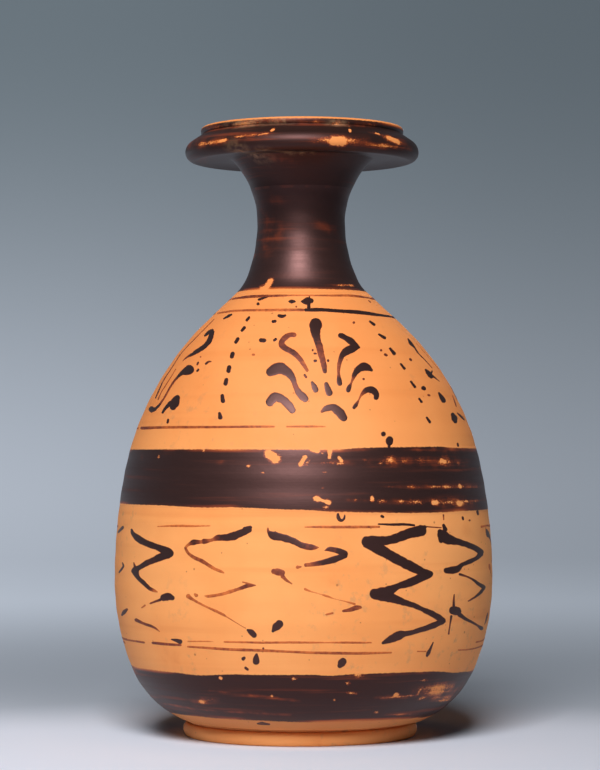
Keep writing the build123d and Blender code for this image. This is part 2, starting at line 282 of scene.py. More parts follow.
MIDDLE_ZIGZAG = {
    "first limb": (
        (267.9, 528.4, 1.8, 0.45), (268.6, 531.6, 3.2, 0.65), (272.9, 535.3, 8.2, 1), (279, 536.7, 7.7, 1),
        (286.4, 538.6, 7.2, 0.95), (293.8, 541.3, 6.3, 0.88), (301.2, 545, 5.9, 0.76),
        (308.6, 546.9, 6.3, 0.72), (314, 547.5, 5, 0.7), (318.5, 547.4, 1, 0.5),
    ),
    "first limb's end": (
        (325.1, 550.5, 1.2, 0.62), (329, 549.2, 4.2, 0.7), (335.4, 550.1, 5.5, 0.74), (341, 552, 6.3, 0.88),
        (344.8, 554.1, 6.3, 1),
    ),
    "second limb": (
        (344.6, 555.2, 6, 1), (338.2, 558, 6.6, 0.95), (331.7, 560.3, 6.6, 0.9), (324.3, 562.1, 5.7, 0.78),
        (316.9, 563.5, 4.9, 0.62), (310.5, 564.5, 4.3, 0.54), (305.8, 564.9, 3.7, 0.5),
    ),
    "second limb's end": ((301, 566.8, 1.5, 0.4), (297.5, 567.2, 3.6, 0.44)),
    "corner blot": ((273.9, 571.4, 5.5, 0.52), (277.6, 571.9, 7, 0.56), (281.9, 572.8, 6.3, 0.58)),
    "corner tail": ((282.7, 576.4, 4.1, 0.56), (286.4, 580.2, 2.7, 0.5), (291.8, 583.7, 1.3, 0.46)),
    "third limb": (
        (305.1, 589.1, 2.6, 0.34), (310.5, 591.3, 1.7, 0.3), (318.8, 593.6, 1.1, 0.28),
        (326.2, 595.9, 2.2, 0.34), (334.5, 598.7, 1.1, 0.28), (345.6, 601.4, 1.3, 0.33),
        (354.6, 604.1, 2.3, 0.4),
    ),
    "fourth limb": (
        (360, 607.3, 3.4, 0.56), (355.3, 607.9, 5, 0.64), (350.2, 609.8, 4.2, 0.6), (343.2, 611, 2.3, 0.54),
    ),
    "fourth limb's end": ((332.5, 613.1, 2, 0.38), (326.4, 614.5, 2, 0.38)),
    "last drop": ((273, 631, 3, 1), (275.8, 627.3, 7.6, 1), (279.4, 623.9, 7.8, 1)),
}
BOLD_ZIGZAG = {
    "first limb": (
        (421, 530.8, 11, 1), (413.6, 532.2, 10.5, 1), (405.9, 534.6, 10, 1), (398.3, 537.5, 9.1, 1),
        (390.6, 539.9, 8.4, 1), (382, 540.8, 9.1, 1), (372.4, 541.3, 10.5, 1), (366.6, 541.8, 10.4, 1),
    ),
    "first limb's corner": ((418, 529, 7, 1), (424.6, 527.3, 4, 1)),
    "second limb": (
        (367.6, 542.9, 10.4, 1), (377.2, 548, 11, 1), (386.8, 553.3, 10, 1), (396.3, 559, 10, 1),
        (405.9, 563.8, 9.6, 1), (415.5, 568.6, 9.1, 1), (423.1, 572.4, 8.1, 1), (430, 573.8, 6.4, 1),
    ),
    "third limb": (
        (429.4, 574.8, 6.6, 1), (421.2, 577.6, 8.1, 1), (413.6, 581, 8.1, 1), (405.9, 583.9, 7.6, 1),
        (398.3, 586.2, 6.2, 0.95), (390.6, 590.1, 9.1, 1), (382, 592.9, 11, 1), (375, 594, 11, 1),
    ),
    "fourth limb": (
        (375.8, 594.9, 10, 1), (384.9, 596.3, 10, 1), (392.5, 598.2, 9, 1), (400.2, 601.1, 7.2, 0.9),
        (407.8, 603.5, 5.7, 0.95), (414.6, 605.8, 5.2, 0.95), (420, 608.2, 4.6, 0.8),
        (425.4, 610.6, 5, 0.9),
    ),
    "fourth limb's end": (
        (425, 610.6, 5.4, 0.95), (432.7, 614, 5.7, 1), (439.4, 618.3, 6.2, 1), (443, 620.6, 5.6, 1),
    ),
    "fifth limb": (
        (442, 621.6, 5.7, 1), (434.6, 625, 5.7, 1), (426.9, 627.9, 5.5, 0.95), (419.3, 630.2, 5, 0.9),
        (411.6, 632.6, 4.8, 0.9), (405.9, 633.6, 5.3, 0.95), (400.2, 635, 8.1, 1), (393.5, 637.9, 8, 1),
        (387.7, 640.8, 5.7, 1), (383, 643, 2.9, 1),
    ),
}
RIGHT_ZIGZAG = {
    "top fleck": ((443.6, 525.2, 3, 0.85), (445.2, 529.6, 4.6, 0.95)),
    "first limb": (
        (442, 534.6, 9.6, 1), (446.1, 538, 11, 1), (451.8, 540.3, 8.6, 1), (457.6, 541.8, 6.9, 1),
        (464.2, 543.7, 5.7, 1), (470.9, 546.1, 5.5, 1), (476.7, 549, 5.7, 1), (480.8, 552.1, 5.7, 1),
    ),
    "first limb's heel": ((439.8, 531.4, 4.6, 1), (441, 540.8, 4.6, 1)),
    "second limb": (
        (480.5, 554.2, 5.5, 1), (476.7, 558, 4.2, 1), (470, 561.4, 4.3, 0.9), (462.3, 564.7, 4.1, 0.85),
        (457.6, 568.6, 6.6, 0.92), (452.8, 570, 7.3, 0.92), (446.3, 570.5, 5.5, 0.86),
    ),
    "third limb": (
        (459.9, 574.3, 2.6, 0.8), (467.1, 576.7, 1.9, 0.66), (472.9, 579.6, 2.3, 0.74),
        (478.6, 583.9, 3.4, 0.92), (483.6, 587.2, 4, 1),
    ),
    "fourth limb": (
        (483.4, 588.6, 4.2, 1), (480.5, 592.5, 3.1, 0.92), (474.8, 597.2, 2, 0.78), (468.3, 601, 1.4, 0.55),
    ),
    "fourth blot": ((453.2, 610.4, 8.4, 1), (457.2, 611, 8.2, 1)),
    "fifth limb": (
        (459.6, 614.6, 4.6, 0.95), (465.2, 618.8, 3.3, 0.84), (471.9, 622.1, 2.6, 0.78),
        (477.6, 625.5, 2.3, 0.74), (481.3, 628.2, 4, 0.92),
    ),
    "upper hairline": ((454.2, 594.6, 1.2, 0.6), (453.7, 600, 2, 0.66), (453.7, 606, 2.6, 0.8)),
    "lower hairline": ((451.3, 616.2, 2.4, 0.9), (449.9, 625, 1.4, 0.7), (448.6, 633.8, 1.6, 0.66)),
    "foot dash": (
        (433.1, 642.4, 1.2, 0.7), (430.3, 648.9, 2.4, 0.85), (428.4, 652.7, 3.8, 1),
        (427, 655.8, 2.3, 0.95),
    ),
}

# Thin lines ruled round the body, from the neck down, in the runs that the brush left
RULED_LINES = {
    "neck line": (
        (233.2, 298.8, 2.2, 0.55), (250.4, 296.6, 2.9, 0.6), (274, 295.9, 2.6, 0.55),
        (297.6, 295.4, 1.6, 0.42), (327, 295.6, 1.9, 0.45), (350.7, 295.7, 2.4, 0.5),
        (368, 297.8, 1.8, 0.55),
    ),
    "shoulder line left": (
        (218.4, 313.2, 1.9, 0.5), (230, 311.4, 2.2, 0.46), (244.5, 310.4, 2.2, 0.44),
        (274, 310.1, 2.8, 0.46), (303.5, 310, 2.8, 0.5),
    ),
    "shoulder line right": (
        (305.8, 310, 3.4, 1), (321.2, 309.8, 3.7, 0.98), (338.9, 311, 3.3, 0.88), (356.6, 312.1, 3.9, 0.9),
        (374.3, 314.3, 3.3, 0.86), (390, 316.5, 2.5, 0.85),
    ),
    "upper line": (
        (142, 428.2, 3.2, 0.6), (162, 427.4, 2.7, 0.5), (190, 427.2, 2.7, 0.5), (225, 427, 2.5, 0.5),
        (262, 426.6, 2.3, 0.48), (274, 426.6, 1.8, 0.38),
    ),
    "upper line's end": (
        (287, 426.6, 1.6, 0.33), (302, 426.5, 2, 0.4), (314, 426.5, 1.9, 0.4), (325, 426.6, 1.2, 0.3),
    ),
    "belly line left": (
        (158, 526.4, 1.2, 0.28), (176, 525.8, 2.3, 0.36), (190, 526, 2.4, 0.37), (210, 525.8, 1.1, 0.28),
    ),
    "belly line middle": (
        (305, 527, 1.2, 0.34), (318, 526.9, 2.4, 0.44), (334, 527, 2.7, 0.47), (356, 527, 2.8, 0.48),
        (379, 526.8, 2.2, 0.46),
    ),
    "belly line right": (
        (378.6, 524.1, 1.6, 0.9), (392.6, 524.6, 2.5, 1), (404, 524.4, 2.6, 0.95), (414, 525.2, 2.2, 0.85),
    ),
    "belly line's end": ((426, 526.6, 1.3, 0.66), (434, 527.2, 1.3, 0.6), (441, 527.6, 1.1, 0.5)),
    "foot line far left": ((128.2, 640, 1.8, 0.45), (144, 642.5, 2, 0.5)),
    "foot line left": ((153, 642.8, 2.6, 0.6), (166, 644.1, 2.8, 0.6), (180.6, 645.1, 2.2, 0.52)),
    "foot line dash": ((188, 641.3, 1.3, 0.28), (213, 641.3, 1.3, 0.28)),
    "foot line right": (
        (224.5, 641.8, 1.8, 0.36), (262, 642.6, 2.2, 0.42), (290, 642.4, 2.3, 0.42), (310, 642.5, 2.1, 0.4),
        (326, 642.5, 1.4, 0.32), (340, 642.5, 2, 0.42), (358, 642.6, 2.1, 0.44), (371, 642.6, 1.4, 0.36),
    ),
    "lowest line": (
        (188, 646.6, 1.8, 0.38), (211.4, 648.2, 2.6, 0.46), (232, 649.5, 2.8, 0.48),
        (262, 650.5, 2.8, 0.46), (285, 651.5, 2.4, 0.44), (310, 652.6, 2.7, 0.46), (340, 653.2, 2.8, 0.47),
        (363.3, 653.2, 2.8, 0.46), (391, 652.5, 1.8, 0.36),
    ),
    "lowest line's end": ((417.6, 651.3, 1.4, 0.4), (425.6, 651.3, 1.3, 0.4)),
    "lowest line's edge": ((458.6, 650, 1.6, 0.38), (465.6, 649.8, 1.4, 0.36)),
}
# Where each line leaves the photo on the right and comes in again on the left, and its load
LINE_ENDS = {
    "neck line": ((368, 297.8), (233.2, 298.8), 0.55),
    "shoulder line": ((390, 316.5), (218.4, 313.2), 0.8),
    "upper line": ((470, 428), (142, 428.2), 0.5),
    "belly line": ((481, 526.5), (122, 527), 0.48),
    "foot line": ((476, 642), (128.2, 640), 0.5),
    "lowest line": ((465.6, 649.8), (132, 645), 0.48),
}

# Drips and spatters of the brush
BLOTS = {
    "neck blot": ((301.6, 301.6, 1.8, 0.9), (304.5, 301.4, 6, 1), (308, 301, 7.8, 1), (311.2, 300.8, 5, 1)),
    "neck blot's point": ((309.6, 296.4, 1, 0.9), (308.6, 299.4, 3, 1)),
    "neck blot's drip": ((308.8, 304.6, 3.4, 1), (308.8, 308.6, 3.4, 1)),
    "neck fleck": ((289.8, 301.5, 2.6, 0.95), (291.8, 301.5, 4.1, 1), (294.4, 301.5, 2.4, 0.95)),
    "fleck below it": ((296.4, 306.8, 1.8, 0.5),),
    "left neck dash": ((258.9, 299.6, 2.5, 0.85), (263.6, 298, 2.3, 0.8), (268.3, 296.4, 2, 0.7)),
    "left neck fleck": ((258.1, 303.9, 3.2, 0.85),),
    "right neck fleck": ((369, 301, 2, 0.6), (370.2, 302, 2, 0.6)),
    "left shoulder dash": ((224.4, 318.3, 2.6, 0.95), (228, 316.2, 3, 1), (231.4, 314.7, 2, 0.9)),
    "shoulder dash": ((278.9, 315.7, 3, 0.95), (282, 316.4, 3.6, 1), (285.4, 315.5, 2.2, 0.85)),
    "shoulder fleck": ((272.9, 321.6, 2.8, 0.95), (275.2, 321.2, 3, 0.95)),
    "shoulder oval": ((261, 340.2, 4.2, 1), (264.4, 340.5, 4, 1)),
    "shoulder spot": ((274.4, 340.4, 2.8, 0.9), (275.8, 339.3, 2.8, 0.9)),
    "faint spot": ((252.8, 354.7, 2.2, 0.42), (254, 354.7, 2.2, 0.42)),
    "band fleck": ((383.4, 434, 4.9, 1),),
    "band blot": ((389.4, 439.8, 7.2, 1), (389.4, 442, 7, 1)),
    "band blot's drip": ((389, 445, 3, 0.95), (388.9, 448, 2.8, 0.95)),
    "edge fleck": ((457.6, 443.6, 2, 0.75), (458, 445.6, 2.2, 0.8)),
    "horseshoe": (
        (337.9, 514.2, 2.4, 0.75), (338.2, 517.4, 3.6, 0.8), (339.8, 519.8, 3.4, 0.85),
        (342.2, 520.2, 2.6, 0.85), (344.2, 518.2, 2.2, 0.8), (344.7, 515.4, 1.6, 0.75),
    ),
    "under band fleck": ((381.6, 516.2, 2.6, 0.85), (383.2, 516.9, 2.4, 0.85)),
    "right band fleck": ((443.4, 515, 1.6, 0.6), (443.6, 519.4, 1.4, 0.5)),
    "far band fleck": ((462.5, 517.4, 2.2, 0.8), (463, 519.2, 2.2, 0.8)),
    "farther band fleck": ((469.5, 520.3, 2, 0.6),),
    "edge band fleck": ((477.4, 511.6, 3, 0.9), (478, 514, 2.6, 0.9)),
    "low drop": ((256.6, 654.4, 2.4, 0.95), (256.2, 657.4, 5.4, 1), (256.1, 661.4, 6.8, 1)),
    "low spot": ((243.2, 658.8, 3.6, 0.85), (244.2, 658, 3, 0.8)),
    "low spot below": ((245.6, 667.8, 2.6, 0.75), (247.6, 669.4, 2.6, 0.75)),
    "low line fleck": ((263.3, 648.4, 2.2, 0.7),),
    "low blot": ((343, 661.4, 7.2, 1), (341.4, 663.4, 8, 1), (339.8, 665.6, 5, 0.95)),
    "smear by the foot": ((257.5, 723.6, 1.6, 0.75), (262, 723.4, 3.2, 0.85), (269.4, 724.3, 1.8, 0.75)),
}

# Edges of the two bands on the body, as pixels from left to right
MID_BAND_TOP = (
    (133, 449.5), (200, 449.3), (260, 449.5), (335, 449.7), (364, 447.8), (389, 447.1), (440, 446.6),
    (453, 447.8), (473, 448.4),
)
MID_BAND_BASE = (
    (122, 503.7), (158, 505.3), (207, 507.7), (231, 507.4), (300, 509.8), (338, 511.9), (376, 512.6),
    (415, 513.1), (440, 512.4), (466, 510.9), (484, 509.8),
)
LOW_BAND_TOP = (
    (138, 667.6), (146, 668.8), (179, 672.8), (194, 675), (239, 674.4), (310, 674.8), (331, 675.6),
    (357, 674), (398, 672.5), (426, 671.6), (460, 672.2), (470, 671.2),
)
LOW_BAND_BASE = (
    (170, 712.4), (178, 714), (199, 716.4), (222, 718.7), (256, 720.4), (310, 722.3), (346, 721.6),
    (380, 720.4), (415, 718), (424, 717.4),
)

# Wear of the slip, as pixels: a patch's two ends and its width.
# A chip is bare, flecks are patches of many small chips, a rub is worn thin and dust lies on the slip.
MID_BAND_WEAR = {
    "chips": (
        (269, 454, 275.6, 458.6, 8.6), (300.4, 464.6, 304.4, 457.8, 3.8), (304, 457.4, 305.6, 457, 3.2),
        (312.4, 448.6, 317, 450.4, 5.6), (329.8, 446, 329.8, 453, 4.4), (329.7, 452, 329.4, 457.6, 3),
        (339, 457.6, 341.4, 460.6, 2.8), (316, 498.4, 317.6, 499, 5), (317, 498.8, 328, 502.2, 2.6),
        (327, 501.8, 329, 502.6, 4.2), (371.9, 497.8, 372, 499, 3.6), (441, 460, 445, 462, 3.4),
        (459.4, 486, 460.4, 486.4, 3.8), (433, 502.6, 436.6, 502.4, 4), (458, 503, 460.4, 503.8, 4.4),
    ),
    "bright flecks": (
        (157.6, 456.8, 160, 456.8, 4), (203.9, 449, 203.9, 451.4, 4), (247.4, 466.2, 250.2, 466.2, 4),
        (261, 473.2, 265, 473.2, 2.8), (305.6, 463.4, 310, 460, 3.6), (302, 464.8, 309, 464.6, 2.6),
        (320.8, 453.6, 324.6, 452.8, 2.6), (335.6, 463.7, 343.4, 463.4, 3.4), (340, 460, 342.6, 461.6, 4),
        (322.6, 507.6, 329.4, 507, 3.8), (369.6, 500.4, 374, 500.2, 3.2), (378, 463.8, 383, 463, 3.8),
        (387, 461, 393, 458.8, 4.4), (437.4, 462, 450, 461.4, 6.4), (427, 486.8, 441, 486.6, 3.2),
        (440, 486.8, 456, 486.7, 3), (455, 486.6, 464.6, 486.5, 3.6), (398, 501.4, 405, 501.4, 3.6),
        (412, 501.8, 423, 502.2, 4.4), (430.4, 502.4, 440, 502.4, 6.4), (440, 502.2, 456, 502.6, 5),
        (454.6, 503, 464, 503, 6.6), (463, 501.4, 470, 501.2, 3),
    ),
    "flecks": (
        (377, 462.6, 397, 459.6, 9), (362.4, 460, 366, 460, 4.4), (402.4, 461, 406.6, 461, 6),
        (413.6, 460, 426.4, 460, 8), (436, 461, 453, 461.4, 10), (456.4, 463.4, 460.4, 463.8, 4.4),
        (386, 486.7, 393, 486.7, 3.4), (403, 486.7, 420, 486.7, 3.6), (464, 486.8, 484, 486.8, 2.6),
        (377, 501, 387, 501, 4.4), (395, 501.4, 408, 501.5, 5), (407, 501.6, 426, 502, 6),
        (428, 502.4, 472, 502, 8.6), (468, 501, 486, 500.6, 3), (318, 463, 342, 463, 3.4),
        (322.6, 472.6, 326, 472.6, 4), (321.4, 488, 324.4, 488, 4), (353.6, 500, 357, 500, 4),
    ),
    "rubs": (
        (306, 463.2, 380, 462.6, 4), (366, 461.4, 416, 461.6, 9), (396, 461.4, 470, 462, 9),
        (380, 486.7, 490, 486.7, 4), (366, 501, 490, 501.4, 5), (420, 502.4, 476, 502, 9),
        (314, 499.6, 380, 500.6, 2.6), (141, 454.6, 143, 458.4, 4.4), (217, 462.3, 223, 462.3, 4),
        (330, 450, 384, 449, 4), (396, 449.4, 474, 450, 5),
    ),
}
LOW_BAND_WEAR = {
    "chips": (
        (201, 701.6, 202.6, 701.8, 4), (220.3, 677.8, 221.1, 678, 3.2), (395.4, 694.7, 396.8, 694.7, 4.4),
    ),
    "bright flecks": (
        (199, 701.8, 205, 701.4, 5), (290.6, 678.8, 297, 679, 3), (354, 674.4, 360, 675.4, 5),
        (346.4, 682.4, 348.6, 683.4, 5), (346.6, 692.6, 357.6, 693.8, 3.2), (375, 711.6, 378, 712.8, 4.4),
        (415, 718.2, 418, 717.8, 4.4), (382, 698, 419, 694.8, 2.8), (416.6, 696.4, 422.4, 686.4, 4.6),
        (420, 688.6, 455, 686.6, 9), (425, 692.6, 452, 690.6, 8), (418, 699, 426, 697, 4),
        (435, 701, 452, 699.4, 3.4), (270.8, 695.8, 272.6, 695.8, 3), (333.4, 699.8, 335.4, 699.8, 3),
    ),
    "flecks": (
        (380, 698, 420, 694.6, 4), (418, 692, 458, 688, 13), (430, 698, 454, 696.6, 7),
        (203, 701, 215, 698.8, 3), (388, 714.6, 416, 713.8, 3), (350, 675, 366, 674.4, 4.4),
        (419, 680.6, 429, 680, 3.4),
    ),
    "hard rubs": (
        (412, 693, 460, 689, 14), (420, 687.6, 458, 685.6, 8), (428, 697, 456, 696, 9),
        (376, 698, 422, 695, 4.6), (386, 714.8, 418, 713.8, 3), (160, 702.6, 198, 709.6, 2.8),
        (190, 708.4, 222, 711.4, 2.8), (214, 710.8, 290, 714.8, 2.8), (194, 702, 216, 699, 7),
        (210, 690.6, 300, 701, 3),
    ),
}
MOUTH_WEAR = {
    "chips": (
        (220, 141.2, 225.6, 139.8, 2.8), (272, 130.6, 273.2, 129.2, 3), (333.8, 140.8, 342.8, 141.2, 9),
        (349.8, 129.4, 350, 131.6, 2.4), (376, 133, 378.4, 133.8, 2.6), (388.6, 137.6, 398.4, 141.8, 5.4),
    ),
    "bright flecks": (
        (196, 145, 218, 141.6, 3.6), (216, 142, 228, 139.2, 4.6), (229, 137.8, 252, 134.6, 3.6),
        (256, 135.2, 269, 133, 3.6), (322, 139.6, 333, 140.2, 5), (343, 140.6, 356, 140.4, 6),
        (374, 132.4, 381, 134.6, 4), (385, 136.6, 402, 143, 7.4), (233, 124.8, 260, 121.8, 3.6),
        (332, 122.8, 342, 123.8, 3.6), (271, 131.6, 274.4, 128, 4.4),
    ),
    "flecks": (
        (194, 145.6, 230, 139.6, 6), (226, 138, 270, 133.4, 6), (314, 139.4, 333, 140, 6),
        (345, 140.4, 366, 139.6, 7), (352, 143.6, 420, 150, 2.8), (358, 142, 416, 148.4, 2.4),
        (370, 132.4, 386, 136, 6), (231, 125, 264, 121.6, 5), (262, 121.4, 292, 121, 3.6),
        (328, 122.8, 345, 123.6, 5), (348.8, 121.6, 349.4, 129, 3), (367, 124, 376, 124.8, 3.8),
        (204, 128.8, 230, 125, 3.4), (300, 121, 326, 121.6, 3),
    ),
    "rubs": (
        (188, 146, 240, 138, 10), (222, 136.4, 276, 133, 8), (306, 139.4, 380, 140.6, 9),
        (348, 143.4, 420, 150, 4), (200, 129.6, 230, 125.2, 5), (222, 125.6, 274, 122.2, 6),
        (266, 122, 334, 122, 5), (326, 122.6, 388, 125.6, 5), (378, 134, 408, 143.4, 9),
        (260, 156, 300, 165, 10),
    ),
    "dust": (
        (232, 148.6, 266, 157.4, 13), (247, 153, 263, 157.4, 9), (260, 150, 293, 152, 7),
        (284, 153, 314, 153.2, 3.6), (226, 125.2, 265, 121.8, 7), (268, 121.4, 292, 121.2, 5),
        (327, 122.6, 347, 123.8, 6),
    ),
}
NECK_WEAR = {
    "chips": ((270.2, 281.4, 267, 286, 7), (267, 286, 263.4, 291, 8.4)),
    "bright flecks": ((333, 285.2, 353, 285.5, 2.8), (347, 285.4, 354, 285.6, 3.6)),
    "light rubs": (
        (256, 206, 276, 240, 26), (258, 244, 288, 228, 22), (254, 240, 272, 252, 16),
        (326, 285, 356, 285.4, 4), (312, 220, 340, 236, 9), (250, 262, 258, 250, 8),
        (258, 196, 284, 202, 10),
    ),
}
JOINT_DASHES = ((-68, -41), (-28, -10), (1, 10), (26, 33))  # degrees, worn places round the mouth's joint


# Properties that a user can change


def length(name, description, millimetres):
    """A size, written here in millimetres and kept in metres."""
    size = millimetres * MM
    return FloatProperty(name=name, description=description, default=size, unit="LENGTH", precision=5)


def slope(name, description, degrees):
    """An angle, written here in degrees."""
    angle = math.radians(degrees)
    return FloatProperty(name=name, description=description, default=angle, subtype="ANGLE")


def share(name, description, default):
    """A plain number, such as a ratio."""
    return FloatProperty(name=name, description=description, default=default)


def linear(level):
    """One channel of a screen colour, from 0 to 255, as light."""
    level = level / 255
    return level / 12.92 if level <= 0.04045 else ((level + 0.055) / 1.055) ** 2.4


def colour(name, description, red, green, blue):
    """A colour, written here as it shows on a screen."""
    default = (linear(red), linear(green), linear(blue))
    return FloatVectorProperty(name=name, description=description, default=default, subtype="COLOR")


def position(name, description, x, y, z):
    """A place in the room, in metres."""
    return FloatVectorProperty(
        name=name, description=description, default=(x, y, z), subtype="XYZ", unit="LENGTH"
    )


def power(name, description, watts):
    """The power of a lamp."""
    return FloatProperty(name=name, description=description, default=watts, unit="POWER")


class FlaskSizes(bpy.types.PropertyGroup):
    """Sizes of the clay pieces, beside those that the parts in model.glb give"""

    base_radius: length("Base radius", "Where the side leaves the flat underside", 27.4)
    base_slope: slope("Base slope", "Of the side there, above level", 22.5)
    belly_height: length("Belly height", "Of the widest line, above the underside", 32.5)
    lower_arc_ratio: share("Lower arcs", "Tangent length of the upper arc over the lower one", 1.15)
    shoulder_arc_ratio: share("Shoulder arcs", "The same, from the belly to the shoulder", 1.37)
    shoulder_straight: length("Shoulder straight", "Straight run below the neck", 9.2)
    shoulder_slope: slope("Shoulder slope", "Of that run, from upright", 46.5)
    body_wall: length("Body wall", "Thickness of the clay", 4.2)
    waist_radius: length("Waist radius", "Of the neck at its narrowest", 10.1)
    waist_height: length("Waist height", "Above the foot of the neck", 16.5)
    neck_arc_ratio: share("Neck arcs", "Tangent length of the upper arc over the lower one", 3.4)
    neck_top_radius: length("Neck top radius", "Where the mouth is set on", 11.4)
    neck_bore_radius: length("Neck bore radius", "Of the straight bore", 6.0)
    throat_radius: length("Throat radius", "Of the bore through the mouth", 6.4)
    crease_radius: length("Crease radius", "Where the flare meets the underside of the disc", 16.4)
    crease_height: length("Crease height", "Above the foot of the mouth", 7.0)
    edge_height: length("Edge height", "Of the widest line of the disc", 8.4)
    underside_height: length("Underside height", "Of the outer part of the underside", 6.3)
    underside_hollow: length("Underside hollow", "Depth of its hollow", 0.25)
    edge_slope: slope("Edge slope", "Of the disc where it meets the lip, from upright", 58.0)
    edge_arc_ratio: share("Edge arcs", "Tangent length of the upper arc over the lower one", 1.0)
    lip_radius: length("Lip radius", "Outside of the lip", 23.4)
    lip_height: length("Lip height", "Above the disc", 1.9)
    lip_groove_depth: length("Lip groove depth", "Of the groove at the foot of the lip", 0.25)
    lip_groove_width: length("Lip groove width", "Of that groove", 0.6)
    lip_round: length("Lip rounding", "Of the outer edge of the lip", 0.8)
    lip_width: length("Lip width", "Of the flat top of the lip", 2.4)
    lip_line: length("Lip line", "Height of the bare line at the top of the lip", 0.45)
    dish_radius: length("Dish radius", "Where the top rolls over into the throat", 9.4)
    dish_depth: length("Dish depth", "Below the lip", 2.3)
    throat_roll: length("Throat roll", "Height of that roll", 3.6)
    foot_bulge_height: length("Foot bulge height", "Of the fullest line of the ring", 1.7)
    foot_top_inset: length("Foot top inset", "From the fullest line to the top", 0.8)
    foot_base_inset: length("Foot base inset", "From the fullest line to the table", 0.7)
    foot_rest_width: length("Foot rest width", "Of the flat on the table", 4.4)
    foot_inner_slope: slope("Foot inner slope", "Of the inside of the ring, from upright", 35.0)
    slip_width: length("Slip width", "Of the ring of slip in a joint", 4.0)
    foot_slip_bulge: length("Foot slip bulge", "Of the slip's outer face above the foot", 0.3)
    soft_edge: length("Soft edge", "Rounding of the edges of the clay", 0.3)


class FlaskThrowing(bpy.types.PropertyGroup):
    """How far the wheel and the hand leave the true turned shape, and how finely it is turned"""

    ridge_height: length("Ridge height", "Of the spiral ridges that the fingers leave", 0.035)
    ridge_pitch: length("Ridge pitch", "From one ridge to the next", 5.3)
    swell: length("Swell", "Of the uneven wall", 0.16)
    swell_size: length("Swell size", "Of one uneven patch", 26.0)
    true_height: length("True height", "Below which the clay keeps its turned shape", 6.0)
    lean_start: length("Lean start", "Height at which the shoulder starts to lean", 80.0)
    lean_end: length("Lean end", "Height at which the neck leans most", 118.0)
    neck_lean: length("Neck lean", "Of the neck towards +X", -0.58)
    mouth_lean: length("Mouth lean", "Of the mouth towards +X", -0.3)
    turns: IntProperty(name="Turns", description="Facets round the body", default=380)
    fine_turns: IntProperty(name="Fine turns", description="Facets round the mouth", default=480)
    body_step: length("Body step", "Between points of the body's outline", 0.8)
    fine_step: length("Fine step", "Between points of a small outline", 0.34)
    plain_step: length("Plain step", "Between points of a hidden outline", 4.0)


class FlaskFinish(bpy.types.PropertyGroup):
    """Colours and gloss of the clay and of the slip that it is painted with"""

    clay: colour("Clay", "Fired clay", 246, 156, 86)
    clay_pale: colour("Pale clay", "Where the clay is lighter", 252, 168, 98)
    clay_deep: colour("Deep clay", "Where the clay is redder", 226, 128, 62)
    soil: colour("Soil", "Smudges left in the clay by the ground", 190, 142, 98)
    dust: colour("Dust", "Film of earth on the slip", 172, 134, 100)
    # Grime, also laid as painted shade in the crease above the foot
    grime_and_crease_shade: colour("Grime", "Dirt on the clay close to the table", 160, 92, 50)
    thin_slip: colour("Thin slip", "Slip brushed so thin that the clay warms it", 206, 106, 46)
    worn_slip: colour("Worn slip", "Slip of middling thickness", 112, 48, 26)
    gloss: colour("Gloss", "Thick slip, fired black", 38, 23, 20)
    gloss_tint: colour("Gloss tint", "Of the light that the slip reflects", 255, 188, 183)
    clay_sheen: share("Clay sheen", "Strength of the clay's reflection", 0.3)
    gloss_sheen: share("Gloss sheen", "Strength of the slip's reflection", 0.85)
    clay_roughness: share("Clay roughness", "Of the smoothed clay", 0.66)
    gloss_roughness: share("Gloss roughness", "Of the thick slip", 0.46)
    relief: length("Relief", "Height of the slip above the clay", 0.035)
    coat_step: length("Coat step", "Between points of a painted band", 0.27)
    coat_margin: length("Coat margin", "By which a band's shell goes on past its paint", 0.7)


class FlaskStage(bpy.types.PropertyGroup):
    """Camera, lights and sweep"""

    eye: position("Eye", "Where the camera stands", -0.83 * MM, -623.8 * MM, 65.5 * MM)
    pitch: slope("Pitch", "Of the camera above level", 1.38)
    lens: share("Lens", "Focal length in millimetres", 126.2)
    lamp_place: position("Lamp place", "Where the lamp hangs", -0.1, -0.85, 0.83)
    lamp_size: length("Lamp size", "Side of the lamp", 450)
    lamp_power: power("Lamp power", "Power of the lamp", 16.4)
    fill_place: position("Fill place", "Where the lamp for the back hangs", 0.1, 0.95, 0.42)
    fill_size: length("Fill size", "Side of that lamp", 800)
    fill_power: power("Fill power", "Power of that lamp", 6.5)
    room_light: share("Room", "Strength of the light from all sides", 0.018)
    paper_glow: share("Paper glow", "Glow of the far sweep, as the camera and reflections see it", 0.74)
    near_paper: colour("Near paper", "Sweep round the flask", 236, 241, 255)
    front_paper: colour("Front paper", "Sweep further off, in front and to the sides", 120, 127, 136)
    far_paper: colour("Far paper", "Sweep behind it", 178, 186, 198)
    # Painted shade up the backdrop, and with the next colour, painted shade towards the right
    high_paper: colour("High paper", "Sweep at the top of the picture", 106, 117, 125)
    shaded_paper: colour("Shaded paper", "Sweep towards the right", 70, 78, 84)


# Outlines and turned clay


def arc_meeting(start, start_way, end, end_way, ratio):
    """The point where two tangent arcs from start to end meet, and the way that they run there."""
    span = end - start
    square = 2 * ratio * (start_way.dot(end_way) - 1)
    slant = -2 * span.dot(start_way + end_way * ratio)
    reach = (-slant - math.sqrt(slant**2 - 4 * square * span.dot(span))) / (2 * square)
    near = start + start_way * reach
    far = end - end_way * (reach * ratio)
    return near + (far - near) / (1 + ratio), (far - near).normalized()


def leaning(angle):
    """The way up that leans towards the axis by an angle."""
    return Vector((-math.sin(angle), math.cos(angle)))


def inward(way):
    """The way to the left of a line that climbs, which is into the wall."""
    return Vector((-way.y, way.x))


def way_into(start, end, end_way):
    """The way to leave start on an arc that arrives at end along end_way."""
    chord = (end - start).normalized()
    return 2 * chord * chord.dot(end_way) - end_way


